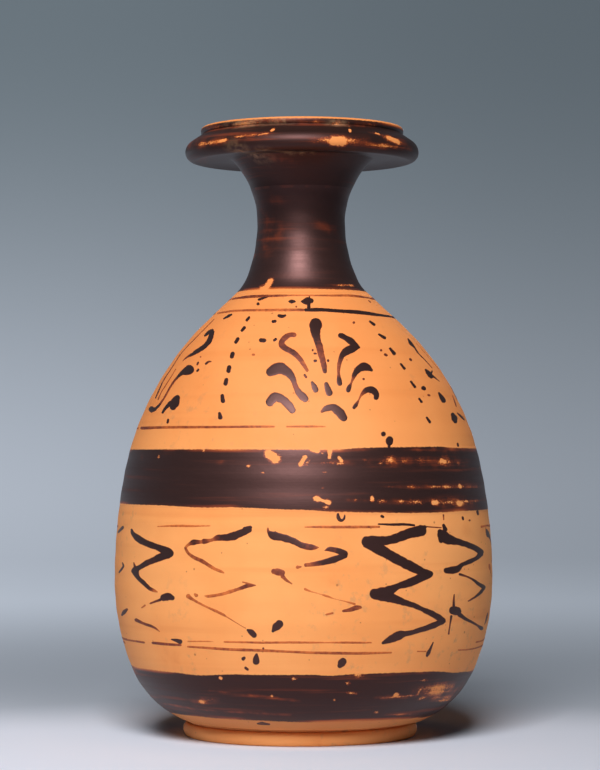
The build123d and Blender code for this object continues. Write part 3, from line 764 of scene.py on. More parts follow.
def hollow_way(start, end, depth):
    """The way to leave start on an arc to end that is hollow by depth, on the wall's side."""
    chord = end - start
    lean = 2 * math.atan2(2 * depth, chord.length)
    return Matrix.Rotation(lean, 2) @ chord.normalized()


class Outline:
    """Half a section of a turned piece, drawn from point to point as radius and height."""

    STRAIGHT = 1e-9  # metres off its line, below which an arc is a straight run

    def __init__(self, start, step, axis=0.0):
        self.bm = bmesh.new()
        self.step = step
        self.axis = axis
        self.corners = []
        self.end = self.bm.verts.new((axis + start.x, 0, start.y))
        self.start = self.end

    def place(self):
        """Where the outline has got to."""
        return Vector((self.end.co.x - self.axis, self.end.co.z))

    def step_to(self, point):
        """One edge on to a point."""
        self.end = bmesh.ops.extrude_vert_indiv(self.bm, verts=[self.end])["verts"][0]
        self.end.co = (self.axis + point.x, 0, point.y)

    def line_to(self, point):
        """A straight run to a point."""
        start = self.place()
        steps = max(1, round((point - start).length / self.step))
        for count in range(steps):
            self.step_to(start.lerp(point, (count + 1) / steps))

    def arc_to(self, point, way):
        """An arc to a point that leaves along way, or a straight run where the point lies ahead."""
        start = self.place()
        chord = point - start
        side = inward(way)
        if abs(chord.dot(side)) < self.STRAIGHT:
            self.line_to(point)
            return
        radius = chord.length_squared / (2 * chord.dot(side))
        turn = 2 * math.atan2(chord.dot(side), chord.dot(way))
        centre = start + side * radius
        steps = max(2, round(abs(radius * turn) / self.step))
        for count in range(steps):
            bent = Matrix.Rotation(turn * (count + 1) / steps, 2)
            self.step_to(centre + bent @ (start - centre))

    def corner(self):
        """Marks the point reached as an edge of the clay, to be softened."""
        self.corners.append(self.end)

    def close(self):
        """Joins the last point to the first."""
        self.bm.edges.new((self.end, self.start))

    def turned(self, turns, soft_edge):
        """The outline, its corners softened, spun once round its axis."""
        if self.corners:
            bmesh.ops.bevel(
                self.bm,
                geom=self.corners,
                offset=soft_edge,
                offset_type="OFFSET",
                affect="VERTICES",
                segments=3,
                profile=0.5,
                material=-1,
            )
        bmesh.ops.spin(
            self.bm,
            geom=self.bm.verts[:] + self.bm.edges[:],
            cent=(self.axis, 0, 0),
            axis=(0, 0, 1),
            angle=math.tau,
            steps=turns,
            use_merge=True,
        )
        close_up(self.bm)
        return self.bm


def close_up(bm):
    """Merges the seams of a shape and turns its faces outwards."""
    bmesh.ops.remove_doubles(bm, verts=bm.verts[:], dist=1e-7)
    bmesh.ops.recalc_face_normals(bm, faces=bm.faces[:])


def smooth_step(value, low, high):
    """0 below low, 1 above high, and a smooth rise between them."""
    rise = min(max((value - low) / (high - low), 0.0), 1.0)
    return rise * rise * (3 - 2 * rise)


def throw(bm, throwing):
    """Moves a true turned shape to that of a flask thrown by hand."""
    on_axis = 1e-6
    for vert in bm.verts:
        point = vert.co
        radius = math.hypot(point.x, point.y)
        if radius < on_axis:
            continue
        ridge = math.sin(math.tau * point.z / throwing.ridge_pitch + angle_of(point))
        patch = noise.noise(point / throwing.swell_size)
        swell = throwing.ridge_height * ridge + throwing.swell * patch
        swell *= smooth_step(radius, 0.0, throwing.true_height)
        swell *= smooth_step(point.z, 0.0, throwing.true_height)
        lean = throwing.neck_lean * smooth_step(point.z, throwing.lean_start, throwing.lean_end)
        sway = smooth_step(point.z, throwing.lean_end, MOUTH_HIGH.z)
        lean += (throwing.mouth_lean - throwing.neck_lean) * sway
        out = Vector((point.x, point.y, 0)) / radius
        vert.co = point + out * swell + Vector((lean, 0, 0))


def angle_of(point):
    """Angle round the flask of a point, from the front towards +X."""
    return math.atan2(point.x, -point.y)


def shown(bm, name, material):
    """Makes a smooth mesh object of a shape."""
    for face in bm.faces:
        face.smooth = True
    mesh = bpy.data.meshes.new(name)
    bm.to_mesh(mesh)
    bm.free()
    mesh.materials.append(material)
    piece = bpy.data.objects.new(name, mesh)
    bpy.context.scene.collection.objects.link(piece)
    return piece


def piece_from(bm, name, node, material):
    """Makes a piece that rides on the flask, and stands for a node where one is named."""
    sharp = math.radians(50)
    for edge in bm.edges:
        edge.smooth = edge.calc_face_angle(0.0) < sharp
    piece = shown(bm, name, material)
    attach(piece, "root")
    if node:
        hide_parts(node)


# The photo's view of the flask


def focal_pixels():
    """The lens's focal length in pixels of the photo."""
    return bpy.context.scene.flask_stage.lens / SENSOR * PHOTO_HEIGHT


def pixel_size():
    """Length that a pixel of the photo spans at the flask's axis."""
    return Vector(bpy.context.scene.flask_stage.eye).length / focal_pixels()


def spot(tree, x, y):
    """The point of a surface that the photo shows at a pixel, or None beside it."""
    stage = bpy.context.scene.flask_stage
    ahead = Vector((x - PHOTO_WIDTH / 2, PHOTO_HEIGHT / 2 - y, -focal_pixels()))
    turn = Matrix.Rotation(math.pi / 2 + stage.pitch, 3, "X")
    return tree.ray_cast(Vector(stage.eye), (turn @ ahead).normalized())[0]


def spot_inside(tree, x, y):
    """The same, and beside the surface the spot on its edge, towards the axis."""
    step = 0.4
    tries = 60
    for _try in range(tries):
        place = spot(tree, x, y)
        if place is not None:
            return place
        x += math.copysign(step, PHOTO_AXIS - x)
    raise ValueError(f"nothing shows near pixel {x:.1f}, {y:.1f}")


def on_surface(tree, angle, height, lift=0.0):
    """The point of a surface at an angle and a height, raised from it by lift."""
    out = Vector((math.sin(angle), -math.cos(angle), 0))
    far = out * (2 * BODY_HIGH.x) + Vector((0, 0, height))
    place, normal, _face, _distance = tree.ray_cast(far, -out)
    if place is None:
        raise ValueError(f"nothing to paint at {math.degrees(angle):.1f} degrees, height {height:.4f}")
    return place + normal * lift


def clay_tree():
    """The surface of the body, to be painted on."""
    body = bpy.data.objects["body_clay"]
    return BVHTree.FromObject(body, bpy.context.evaluated_depsgraph_get())


# Paint on the clay: how deep inside a painted patch a point lies, and where the paint has gone


def edge_line(tree, pixels):
    """A band's edge as (angle, height) pairs, closed round the back."""
    line = []
    for x, y in pixels:
        place = spot_inside(tree, x, y)
        line.append((angle_of(place), place.z))
    line.sort()
    return [(line[-1][0] - math.tau, line[-1][1])] + line + [(line[0][0] + math.tau, line[0][1])]


def edge_at(line, angle):
    """Height of a band's edge at an angle."""
    for (start, low), (end, high) in zip(line, line[1:]):
        if start <= angle <= end:
            return low + (high - low) * smooth_step(angle, start, end)
    raise ValueError(f"no edge at angle {angle}")


class Coat:
    """The layers of a painted piece that say where its slip lies and is worn, kept on its points."""

    DEEPEST = 3.0  # millimetres, most that a point is said to lie inside the paint or outside it
    STEP = 12  # pixels between points of a patch that the photo shows
    FEWEST = 4  # steps along one
    BACK = (math.radians(80), math.radians(280))  # where patches are made up
    LONGEST = 0.16  # radians
    WIDTHS = (0.4, 1.3)  # shares of their size
    FADES = (0.5, 1.0)  # shares of their strength, at the far end
    CLIMB = 0.5  # millimetres

    def __init__(self, bm, tree=None):
        self.bm = bm
        self.tree = tree or BVHTree.FromBMesh(bm)
        layers = bm.verts.layers.float
        self.cover = layers.new("cover")
        self.chip = layers.new("chip")
        self.fleck = layers.new("fleck")
        self.thin = layers.new("thin")
        self.dust = layers.new("dust")
        # Each kind of wear: its layer, its strength and the share of that at the ends of a patch
        self.kinds = {
            "chips": (self.chip, 1.0, 1.0),
            "bright flecks": (self.fleck, 0.68, 0.6),
            "flecks": (self.fleck, 0.5, 0.6),
            "light rubs": (self.thin, 0.46, 0.3),
            "rubs": (self.thin, 0.65, 0.2),
            "hard rubs": (self.thin, 1.0, 0.4),
            "dust": (self.dust, 1.0, 0.4),
        }
        bm.verts.ensure_lookup_table()
        bm.verts.index_update()
        self.nearby = KDTree(len(bm.verts))
        for vert in bm.verts:
            self.nearby.insert(vert.co, vert.index)
        self.nearby.balance()

    def paint(self, depth):
        """Sets how many millimetres inside the paint's edge each point lies."""
        for vert in self.bm.verts:
            inside = depth(vert.co) / MM
            vert[self.cover] = min(max(inside, -self.DEEPEST), self.DEEPEST)

    def mark(self, layer, start, end, width, strengths):
        """Marks a rounded patch from start to end, with a strength at each, that is halved at its edge."""
        run = end - start
        first, last = strengths
        for _place, index, _distance in self.nearby.find_range((start + end) / 2, run.length / 2 + width):
            vert = self.bm.verts[index]
            along = 0.0
            if run.length_squared > 0:
                along = min(max((vert.co - start).dot(run) / run.length_squared, 0.0), 1.0)
            away = (vert.co - start - run * along).length
            strength = first + (last - first) * along
            vert[layer] = max(vert[layer], strength * (1 - away / width))

    def wear(self, patches_by_kind):
        """Marks the wear that the photo shows."""
        for kind, patches in patches_by_kind.items():
            for patch in patches:
                self.mark_seen(*self.kinds[kind], *patch)

    def mark_seen(self, layer, strength, ends, x0, y0, x1, y1, width):
        """Marks a patch from one pixel of the photo to another, weaker at its ends."""
        steps = max(self.FEWEST, round(math.hypot(x1 - x0, y1 - y0) / self.STEP))
        line = []
        for step in range(steps + 1):
            along = step / steps
            place = spot_inside(self.tree, x0 + (x1 - x0) * along, y0 + (y1 - y0) * along)
            line.append((place, strength * (ends + (1 - ends) * math.sin(math.pi * along))))
        for (start, first), (end, last) in zip(line, line[1:]):
            self.mark(layer, start, end, width * pixel_size(), (first, last))

    def mark_behind(self, layer, seed, count, low, high, size, strength=1.0):
        """Marks patches of a random size round the back, between two heights."""
        hand = random.Random(seed)
        for _patch in range(count):
            angle = hand.uniform(*self.BACK)
            height = hand.uniform(low, high)
            reach = self.LONGEST * hand.random() ** 3
            width = size * hand.uniform(*self.WIDTHS)
            climb = hand.uniform(-self.CLIMB, self.CLIMB) * MM
            start = on_surface(self.tree, angle, height)
            end = on_surface(self.tree, angle + reach, height + climb)
            self.mark(layer, start, end, width, (strength, strength * hand.uniform(*self.FADES)))

    def sink(self, depth):
        """Lowers the flaked places."""
        self.bm.normal_update()
        for vert in self.bm.verts:
            flaked = smooth_step(vert[self.chip], 0.4, 0.6)
            vert.co -= vert.normal * (depth * flaked)


# Materials


class Recipe:
    """A material's nodes, with short calls for those that the finishes share."""

    def __init__(self, name):
        self.material = bpy.data.materials.new(name)
        self.material.use_nodes = True
        self.tree = self.material.node_tree
        self.shader = self.tree.nodes["Principled BSDF"]
        self.place = self.node("TexCoord").outputs["Object"]
        self.x, self.y, self.z = self.node("SeparateXYZ", Vector=self.place).outputs

    def feed(self, socket, value):
        """Links a socket to another, or sets it to a plain value."""
        if isinstance(value, bpy.types.NodeSocket):
            self.tree.links.new(value, socket)
        elif socket.type == "RGBA":
            socket.default_value = (*value, 1.0)
        else:
            socket.default_value = value

    def node(self, kind, **inputs):
        """A new node, with its inputs fed by name, where _ stands for a space."""
        node = self.tree.nodes.new("ShaderNode" + kind)
        for name, value in inputs.items():
            self.feed(node.inputs[name.replace("_", " ")], value)
        return node

    def attribute(self, name):
        """A float layer of the piece."""
        node = self.node("Attribute")
        node.attribute_name = name
        return node.outputs["Fac"]

    def math(self, operation, first, second):
        """One step of arithmetic on two values."""
        node = self.node("Math")
        node.operation = operation
        self.feed(node.inputs[0], first)
        self.feed(node.inputs[1], second)
        return node.outputs[0]

    def facing_up(self):
        """1 on the level faces, where dust settles, and 0 on the others."""
        part = self.node("SeparateXYZ", Vector=self.node("NewGeometry").outputs["Normal"])
        return self.rise(part.outputs[2], 0.85, 0.97)

    def plus(self, first, *others):
        """The sum of some values."""
        for other in others:
            first = self.math("ADD", first, other)
        return first

    def both(self, first, *others):
        """The product of some values."""
        for other in others:
            first = self.math("MULTIPLY", first, other)
        return first

    def less(self, value, amount=1.0):
        """What is left of 1 after an amount of a value."""
        return self.math("SUBTRACT", 1.0, self.both(value, amount))

    def noise(self, scale, detail=3.0, squeeze=1.0, rough=0.5):
        """Cloudy noise, with scale in patches to a metre, squeezed upright into level streaks."""
        squeezed = self.node("Mapping", Vector=self.place, Scale=(1, 1, squeeze)).outputs["Vector"]
        node = self.node("TexNoise", Vector=squeezed, Scale=scale, Detail=detail, Roughness=rough)
        return node.outputs["Fac"]

    def specks(self, scale, size, kept):
        """Scattered round specks, of which only a share is kept."""
        node = self.node("TexVoronoi", Vector=self.place, Scale=scale)
        part = self.node("SeparateColor", Color=node.outputs["Color"])
        near = self.rise(node.outputs["Distance"], size, size * 0.5)
        return self.both(near, self.math("LESS_THAN", part.outputs[0], kept))

    def rise(self, value, low, high, to_low=0.0, to_high=1.0):
        """A smooth step from to_low, at low, to to_high, at high."""
        if low > high:
            low, high, to_low, to_high = high, low, to_high, to_low
        node = self.node("MapRange", Value=value, From_Min=low, From_Max=high, To_Min=to_low, To_Max=to_high)
        node.interpolation_type = "SMOOTHSTEP"
        return node.outputs["Result"]

    def sway(self, value, noise_value, amount):
        """A value moved up and down by noise."""
        return self.plus(value, self.both(self.math("SUBTRACT", noise_value, 0.5), amount))

    def mix(self, factor, first, second):
        """A colour between two others."""
        node = self.node("Mix")
        node.data_type = "RGBA"
        self.feed(node.inputs[0], factor)
        self.feed(node.inputs[6], first)
        self.feed(node.inputs[7], second)
        return node.outputs[2]

    def bump(self, height, distance, strength, under=None):
        """A fine relief, laid over another where one is given."""
        node = self.node("Bump", Height=height, Distance=distance, Strength=strength)
        if under is not None:
            self.feed(node.inputs["Normal"], under)
        return node.outputs["Normal"]

    def finish(self, tone, rough, skin, sheen, tint=(1.0, 1.0, 1.0)):
        """Feeds the shader, and gives back the material."""
        self.feed(self.shader.inputs["Base Color"], tone)
        self.feed(self.shader.inputs["Roughness"], rough)
        self.feed(self.shader.inputs["Normal"], skin)
        self.feed(self.shader.inputs["Specular IOR Level"], sheen)
        self.feed(self.shader.inputs["Specular Tint"], tint)
        return self.material


def clay_colour(recipe, finish):
    """Fired clay: cloudy tones, wheel streaks, soil and grit, deeper above; grime and painted crease shade
    near the table.
    """
    cloud = recipe.rise(recipe.noise(34, 4), 0.35, 0.68)
    tone = recipe.mix(cloud, finish.clay_pale, finish.clay)
    wiped = recipe.rise(recipe.noise(9, 4, 34), 0.5, 0.8)
    tone = recipe.mix(recipe.both(wiped, 0.4), tone, finish.clay_deep)
    stain = recipe.rise(recipe.noise(70, 5, rough=0.6), 0.58, 0.74)
    tone = recipe.mix(recipe.both(stain, 0.4), tone, finish.clay_deep)
    patchy = recipe.rise(recipe.noise(26, 2), 0.46, 0.66)
    smudge = recipe.rise(recipe.noise(420, 5, rough=0.6), 0.54, 0.72)
    tone = recipe.mix(recipe.both(smudge, patchy, 0.55), tone, finish.soil)
    high = recipe.rise(recipe.z, 55 * MM, 80 * MM)
    tone = recipe.mix(recipe.both(high, 0.42), tone, finish.clay_deep)
    # Painted shade in the crease above the foot, mixed with grime: darker between these heights
    low = recipe.both(recipe.rise(recipe.z, 10 * MM, 6 * MM), recipe.rise(recipe.z, 2.5 * MM, 4.5 * MM))
    tone = recipe.mix(recipe.both(low, 0.5), tone, finish.grime_and_crease_shade)
    grit = recipe.plus(recipe.specks(420, 0.15, 0.07), recipe.specks(900, 0.2, 0.04))
    return recipe.mix(recipe.both(grit, 0.5), tone, finish.worn_slip)


def plain_clay(name, finish):
    """Bare clay, smoothed on the wheel."""
    recipe = Recipe(name)
    grain = recipe.noise(900, 5, rough=0.6)
    wheel = recipe.noise(26, 3, 60, 0.6)
    skin = recipe.bump(wheel, 0.05 * MM, 0.3, recipe.bump(grain, 0.06 * MM, 0.5))
    rough = recipe.sway(finish.clay_roughness, grain, 0.16)
    return recipe.finish(clay_colour(recipe, finish), rough, skin, finish.clay_sheen)


def slip_colour(recipe, finish, depth):
    """Slip from thin and warm to thick and black, by its depth from 0 to 1."""
    tone = recipe.mix(recipe.rise(depth, 0.45, 0.78), finish.thin_slip, finish.worn_slip)
    return recipe.mix(recipe.rise(depth, 0.72, 0.98), tone, finish.gloss)


def slip_coat(name, finish, streaks, sheen=1.0):
    """Slip brushed over clay: streaky, ragged at its edge, rubbed thin in places and flaked off in others."""
    recipe = Recipe(name)
    grain = recipe.noise(900, 5, rough=0.6)
    ragged = recipe.noise(1500, 4, 1.6)
    brush = recipe.noise(30, 5, 26, 0.6)
    hair = recipe.noise(55, 4, 45, 0.6)
    cloud = recipe.noise(330, 3)
    cover = recipe.attribute("cover")
    fine = recipe.noise(2400, 3, 2.0)
    chip = recipe.sway(recipe.sway(recipe.attribute("chip"), ragged, 0.5), fine, 0.3)
    fleck = recipe.sway(recipe.sway(recipe.attribute("fleck"), fine, 0.9), cloud, 0.5)

    covered = recipe.rise(recipe.sway(cover, ragged, 0.35), -0.1, 0.12)
    patchy = recipe.rise(recipe.noise(40, 3, 4), 0.42, 0.62)
    fringe = recipe.both(recipe.rise(cover, 0.9, 0.05), patchy, 0.45)
    chipped = recipe.rise(chip, 0.46, 0.56)
    flecked = recipe.rise(fleck, 0.48, 0.6)
    halo = recipe.plus(recipe.rise(chip, 0.26, 0.46, 0.0, 0.25), recipe.rise(fleck, 0.3, 0.48, 0.0, 0.25))
    scuff = recipe.plus(recipe.rise(cloud, 0.35, 0.7, 0.1, 0.4), recipe.rise(hair, 0.5, 0.8, 0.0, 0.35))
    rubbed = recipe.both(recipe.attribute("thin"), scuff)
    streaked = recipe.rise(brush, 0.45, 0.8, 0.0, streaks)
    depth = recipe.both(recipe.less(fringe), recipe.less(halo), recipe.less(rubbed), recipe.less(streaked))
    present = recipe.both(covered, recipe.less(chipped), recipe.less(flecked), recipe.rise(depth, 0.1, 0.34))
    tone = recipe.mix(present, clay_colour(recipe, finish), slip_colour(recipe, finish, depth))
    dusty = recipe.both(recipe.attribute("dust"), recipe.rise(recipe.noise(620, 4, 1.5, 0.6), 0.35, 0.65))
    tone = recipe.mix(recipe.both(dusty, 0.7), tone, finish.dust)

    bare_rough = recipe.both(recipe.sway(finish.clay_roughness, grain, 0.16), recipe.less(present))
    slip_rough = recipe.both(recipe.sway(finish.gloss_roughness, brush, 0.2), present)
    skin = recipe.bump(grain, 0.05 * MM, 0.4)
    skin = recipe.bump(hair, 0.04 * MM, 0.3, skin)
    rough = recipe.plus(bare_rough, slip_rough, recipe.both(recipe.facing_up(), 0.3))
    return recipe.finish(tone, rough, skin, finish.gloss_sheen * sheen, finish.gloss_tint)


def brushed_slip(name, finish):
    """A brush stroke, black where it is loaded and warm where it runs dry."""
    recipe = Recipe(name)
    grain = recipe.noise(900, 4, rough=0.6)
    cloud = recipe.noise(330, 4)
    ragged = recipe.noise(1400, 3)
    depth = recipe.sway(recipe.sway(recipe.attribute("load"), cloud, 0.35), ragged, 0.4)
    present = recipe.rise(depth, 0.1, 0.34)
    dark = recipe.plus(depth, 0.15)
    tone = recipe.mix(present, clay_colour(recipe, finish), slip_colour(recipe, finish, dark))
    rough = recipe.rise(depth, 0.3, 0.9, finish.clay_roughness, finish.gloss_roughness)
    skin = recipe.bump(grain, 0.05 * MM, 0.4)
    return recipe.finish(tone, rough, skin, finish.gloss_sheen, finish.gloss_tint)


# Brush strokes


def on_curve(points, along):
    """The point some way along a smooth curve with four handles."""
    while len(points) > 1:
        points = [start.lerp(end, along) for start, end in zip(points, points[1:])]
    return points[0]


def smooth_path(points):
    """A smooth curve through points of x, y, width and load."""
    steps = 6
    line = [points[0]]
    for count, (start, end) in enumerate(zip(points, points[1:])):
        before = points[max(count - 1, 0)]
        after = points[min(count + 2, len(points) - 1)]
        curve = (start, start + (end - before) / 6, end - (after - start) / 6, end)
        line += [on_curve(curve, (step + 1) / steps) for step in range(steps)]
    return line


def rounded_ends(line):
    """A path with a half round added at each end, down to no width."""
    bends = (22, 45, 67, 90)  # degrees, from the end of the path to the tip
    ways = (UP, -UP)
    if len(line) > 1:
        ways = ((line[0] - line[1]).xy.normalized(), (line[-1] - line[-2]).xy.normalized())
    caps = []
    for end, way in zip((line[0], line[-1]), ways):
        cap = []
        for degrees in bends:
            bend = math.radians(degrees)
            reach = way * (end.z / 2 * math.sin(bend))
            cap.append(Vector((end.x + reach.x, end.y + reach.y, end.z * max(math.cos(bend), 0.0), end.w)))
        caps.append(cap)
    return caps[0][::-1] + line + caps[1]


class Brush:
    """Lays strokes of slip on the body, each a flat closed bead that is half sunk in the clay."""

    # Points round a bead: across, up, and how much of the load lies there
    SECTION = (
        (1, 0, 0.3), (0.84, 0.8, 1), (0.45, 1, 1), (0, 1, 1), (-0.45, 1, 1), (-0.84, 0.8, 1), (-1, 0, 0.3),
        (-0.5, -0.6, 0.3), (0.5, -0.6, 0.3), (1, 0, 0.3),
    )
    FULL = 1.06  # share of the width that was read, because the edge fades
    UNEVEN = 0.14  # share by which the width wavers
    WAVER = 4  # pixels along one waver
    STRETCH = 2.5  # most that a stroke spreads where the clay turns away from the photo
    SLACK = 0.01 * MM
    # A stroke that is drawn again: shares of its breadth, climb in millimetres, and loss of load
    SPREADS = (0.94, 1.06)
    CLIMB = 0.4
    LOSS = (0.0, 0.25)

    def __init__(self, seed):
        self.tree = clay_tree()
        self.finish = bpy.context.scene.flask_finish
        self.hand = random.Random(seed)
        self.bm = bmesh.new()
        self.load = self.bm.verts.layers.float.new("load")

    def seen(self, point, offset):
        """Angle and height that the photo shows at a pixel, and some pixels beside it."""
        pixel = pixel_size()
        middle = spot_inside(self.tree, point.x, point.y)
        place = spot(self.tree, point.x + offset.x, point.y + offset.y)
        far = self.STRETCH * offset.length * pixel + self.SLACK
        if place is not None and (place - middle).length <= far:
            return angle_of(place), place.z
        round_by = offset.x * pixel * self.STRETCH / middle.xy.length
        return angle_of(middle) + round_by, middle.z - offset.y * pixel

    def bead(self, points, project):
        """One stroke as points of angle, height, lift and load, ring after ring."""
        path = rounded_ends(smooth_path([Vector(point) for point in points]))
        beads = []
        for count, point in enumerate(path):
            before = path[max(count - 1, 0)]
            after = path[min(count + 1, len(path) - 1)]
            way = (after - before).xy.normalized()
            across = Vector((-way.y, way.x))
            for side, up, held in self.SECTION:
                waver = Vector((point.x, point.y, math.copysign(self.WAVER, side))) / self.WAVER
                uneven = 1 + self.UNEVEN * noise.noise(waver)
                half = max(point.z, 0.0) / 2 * self.FULL * uneven
                angle, height = project(point, across * (side * half))
                beads.append((angle, height, up * self.finish.relief, point.w * held))
        return beads

    def lay(self, beads, turn=0.0, middle=0.0, spread=1.0, climb=0.0, wear=0.0):
        """Lays a bead on the clay, turned round the flask, spread about a middle angle and worn."""
        rings = len(beads) // len(self.SECTION)
        across = len(self.SECTION) - 1
        grid = bmesh.ops.create_grid(self.bm, x_segments=across, y_segments=rings - 1, size=1)
        for vert, (angle, height, lift, load) in zip(grid["verts"], beads):
            turned = middle + turn + (angle - middle) * spread
            vert.co = on_surface(self.tree, turned, height + climb, lift)
            vert[self.load] = load - wear

    def draw(self, strokes, turns=()):
        """Draws strokes as the photo shows them, and again at each turn, a little changed by the hand."""
        all_beads = [self.bead(points, self.seen) for points in strokes.values()]
        for beads in all_beads:
            self.lay(beads)
        middle = sum(beads[0][0] for beads in all_beads) / len(all_beads)
        for turn in turns:
            self.repeat(all_beads, turn, middle)

    def repeat(self, all_beads, turn, middle):
        """Lays beads again, turned by some degrees."""
        spread = self.hand.uniform(*self.SPREADS)
        climb = self.hand.uniform(-self.CLIMB, self.CLIMB) * MM
        for beads in all_beads:
            wear = self.hand.uniform(*self.LOSS)
            self.lay(beads, math.radians(turn), middle, spread, climb, wear)

    def unrolled(self, points, radius):
        """Lays a stroke whose points are in millimetres on the clay, rolled out flat."""
        self.lay(self.bead(points, lambda point, offset: (
            (point.x + offset.x) * MM / radius,
            (point.y + offset.y) * MM,
        )))

    def rule_behind(self, start, end, load):
        """Carries a ruled line round the back, from one pixel to another, in runs of uneven load."""
        none = Vector((0, 0))
        first, low = self.seen(Vector(start), none)
        last, high = self.seen(Vector(end), none)
        last += math.tau
        radius = on_surface(self.tree, math.pi, (low + high) / 2).xy.length
        runs = 5
        points = 6
        for run in range(runs):
            path = []
            lifted = self.hand.uniform(0.0, 0.25)
            worn = load - self.hand.uniform(0.0, 0.15)
            for point in range(points):
                along = (run + (point / (points - 1)) * (1 - lifted)) / runs
                height = low + (high - low) * along + self.hand.uniform(-0.1, 0.1) * MM
                width = self.hand.uniform(0.35, 0.65)
                path.append(((first + (last - first) * along) * radius / MM, height / MM, width, worn))
            self.unrolled(path, radius)

    def spatter_behind(self, count, low, high):
        """Drops flecks of slip round the back, between two heights."""
        for _fleck in range(count):
            angle = self.hand.uniform(math.radians(85), math.radians(275))
            height = self.hand.uniform(low, high)
            radius = on_surface(self.tree, angle, height).xy.length
            width = self.hand.uniform(0.4, 1.3)
            load = self.hand.uniform(0.6, 1.0)
            start = (angle * radius / MM, height / MM, width, load)
            across = start[0] + self.hand.uniform(-0.4, 0.4)
            above = start[1] + self.hand.uniform(0.1, 0.6)
            self.unrolled((start, (across, above, width * 0.8, load)), radius)

    def dry(self, name):
        """Makes the strokes a piece of their own."""
        close_up(self.bm)
        piece_from(self.bm, name, None, brushed_slip("slip_of_" + name, self.finish))


# Operators for the clay


def settings(context):
    """The groups of properties that a turned piece is made by."""
    scene = context.scene
    return scene.flask_sizes, scene.flask_throwing, scene.flask_finish


class FLASK_OT_body(bpy.types.Operator):
    """Turns the hollow body"""

    bl_idname = "flask.body"
    bl_label = "Body"

    def execute(self, context):
        sizes, throwing, finish = settings(context)
        base_way = Vector((math.cos(sizes.base_slope), math.sin(sizes.base_slope)))
        shoulder_way = leaning(sizes.shoulder_slope)
        base = Vector((sizes.base_radius, BODY_LOW.z))
        belly = Vector((BODY_HIGH.x, BODY_LOW.z + sizes.belly_height))
        joint = Vector((NECK_JOINT_RADIUS, BODY_HIGH.z))
        shoulder = joint - shoulder_way * sizes.shoulder_straight
        lower, lower_way = arc_meeting(base, base_way, belly, UP, sizes.lower_arc_ratio)
        upper, upper_way = arc_meeting(belly, UP, shoulder, shoulder_way, sizes.shoulder_arc_ratio)
        side = [(base, base_way), (lower, lower_way), (belly, UP), (upper, upper_way)]
        side.append((shoulder, shoulder_way))
        inside = [(point + inward(way) * sizes.body_wall, way) for point, way in side]
        opening = joint.x - sizes.body_wall / math.cos(sizes.shoulder_slope)

        outline = Outline(Vector((0, base.y)), throwing.plain_step)
        outline.line_to(base)
        outline.corner()
        outline.step = throwing.body_step
        for (_start, way), (end, _way) in zip(side, side[1:]):
            outline.arc_to(end, way)
        outline.line_to(joint)
        outline.step = throwing.plain_step
        outline.line_to(Vector((opening, joint.y)))
        outline.line_to(inside[-1][0])
        for (_start, way), (end, _way) in zip(inside[::-1], inside[-2::-1]):
            outline.arc_to(end, -way)
        outline.line_to(Vector((0, inside[0][0].y)))
        bm = outline.turned(throwing.turns, sizes.soft_edge)
        throw(bm, throwing)
        material = plain_clay("clay_of_body", finish)
        piece_from(bm, "body_clay", "body", material)
        return {"FINISHED"}


class FLASK_OT_foot_ring(bpy.types.Operator):
    """Turns the ring foot, on its own axis"""

    bl_idname = "flask.foot_ring"
    bl_label = "Foot ring"

    def execute(self, context):
        sizes, throwing, finish = settings(context)
        radius = FOOT_HIGH.x - FOOT_AXIS
        rest = Vector((radius - sizes.foot_base_inset, 0))
        bulge = Vector((radius, sizes.foot_bulge_height))
        inner = rest.x - sizes.foot_rest_width
        inner_top = inner - FOOT_HIGH.z * math.tan(sizes.foot_inner_slope)

        outline = Outline(Vector((inner, 0)), throwing.fine_step, FOOT_AXIS)
        outline.corner()
        outline.line_to(rest)
        outline.corner()
        outline.arc_to(bulge, way_into(rest, bulge, UP))
        outline.arc_to(Vector((radius - sizes.foot_top_inset, FOOT_HIGH.z)), UP)
        outline.corner()
        outline.line_to(Vector((inner_top, FOOT_HIGH.z)))
        outline.close()
        bm = outline.turned(throwing.turns, sizes.soft_edge)
        material = plain_clay("clay_of_foot", finish)
        piece_from(bm, "foot_ring_clay", "foot_ring", material)
        return {"FINISHED"}


class FLASK_OT_neck(bpy.types.Operator):
    """Turns the waisted neck, dark all over"""

    bl_idname = "flask.neck"
    bl_label = "Neck"

    def execute(self, context):
        sizes, throwing, finish = settings(context)
        foot = Vector((NECK_HIGH.x, NECK_LOW.z))
        shoulder_way = leaning(sizes.shoulder_slope)
        waist = Vector((sizes.waist_radius, NECK_LOW.z + sizes.waist_height))
        meeting, meeting_way = arc_meeting(foot, shoulder_way, waist, UP, sizes.neck_arc_ratio)
        top = Vector((sizes.neck_top_radius, NECK_HIGH.z))
        bore_foot = Vector((foot.x - sizes.body_wall / math.cos(sizes.shoulder_slope), foot.y))
        flare = (bore_foot.x - sizes.neck_bore_radius) / (1 - math.cos(sizes.shoulder_slope))
        bore_low = Vector((sizes.neck_bore_radius, foot.y + flare * math.sin(sizes.shoulder_slope)))

        outline = Outline(foot, throwing.fine_step)
        outline.arc_to(meeting, shoulder_way)
        outline.arc_to(waist, meeting_way)
        outline.arc_to(top, UP)
        outline.step = throwing.plain_step
        outline.line_to(Vector((sizes.neck_bore_radius, top.y)))
        outline.line_to(bore_low)
        outline.arc_to(bore_foot, -UP)
        outline.close()
        bm = outline.turned(throwing.fine_turns // 2, sizes.soft_edge)
        throw(bm, throwing)
        coat = Coat(bm)
        bare = 0.1 * MM
        coat.paint(lambda point: point.z - foot.y - bare)
        coat.wear(NECK_WEAR)
        margin = 2 * MM
        ends = (foot.y + margin, top.y - margin)
        coat.mark_behind(coat.thin, 31, 10, *ends, size=2.5 * MM, strength=0.5)
        material = slip_coat("slip_of_neck", finish, streaks=0.12)
        piece_from(bm, "neck_clay", "neck", material)
        return {"FINISHED"}


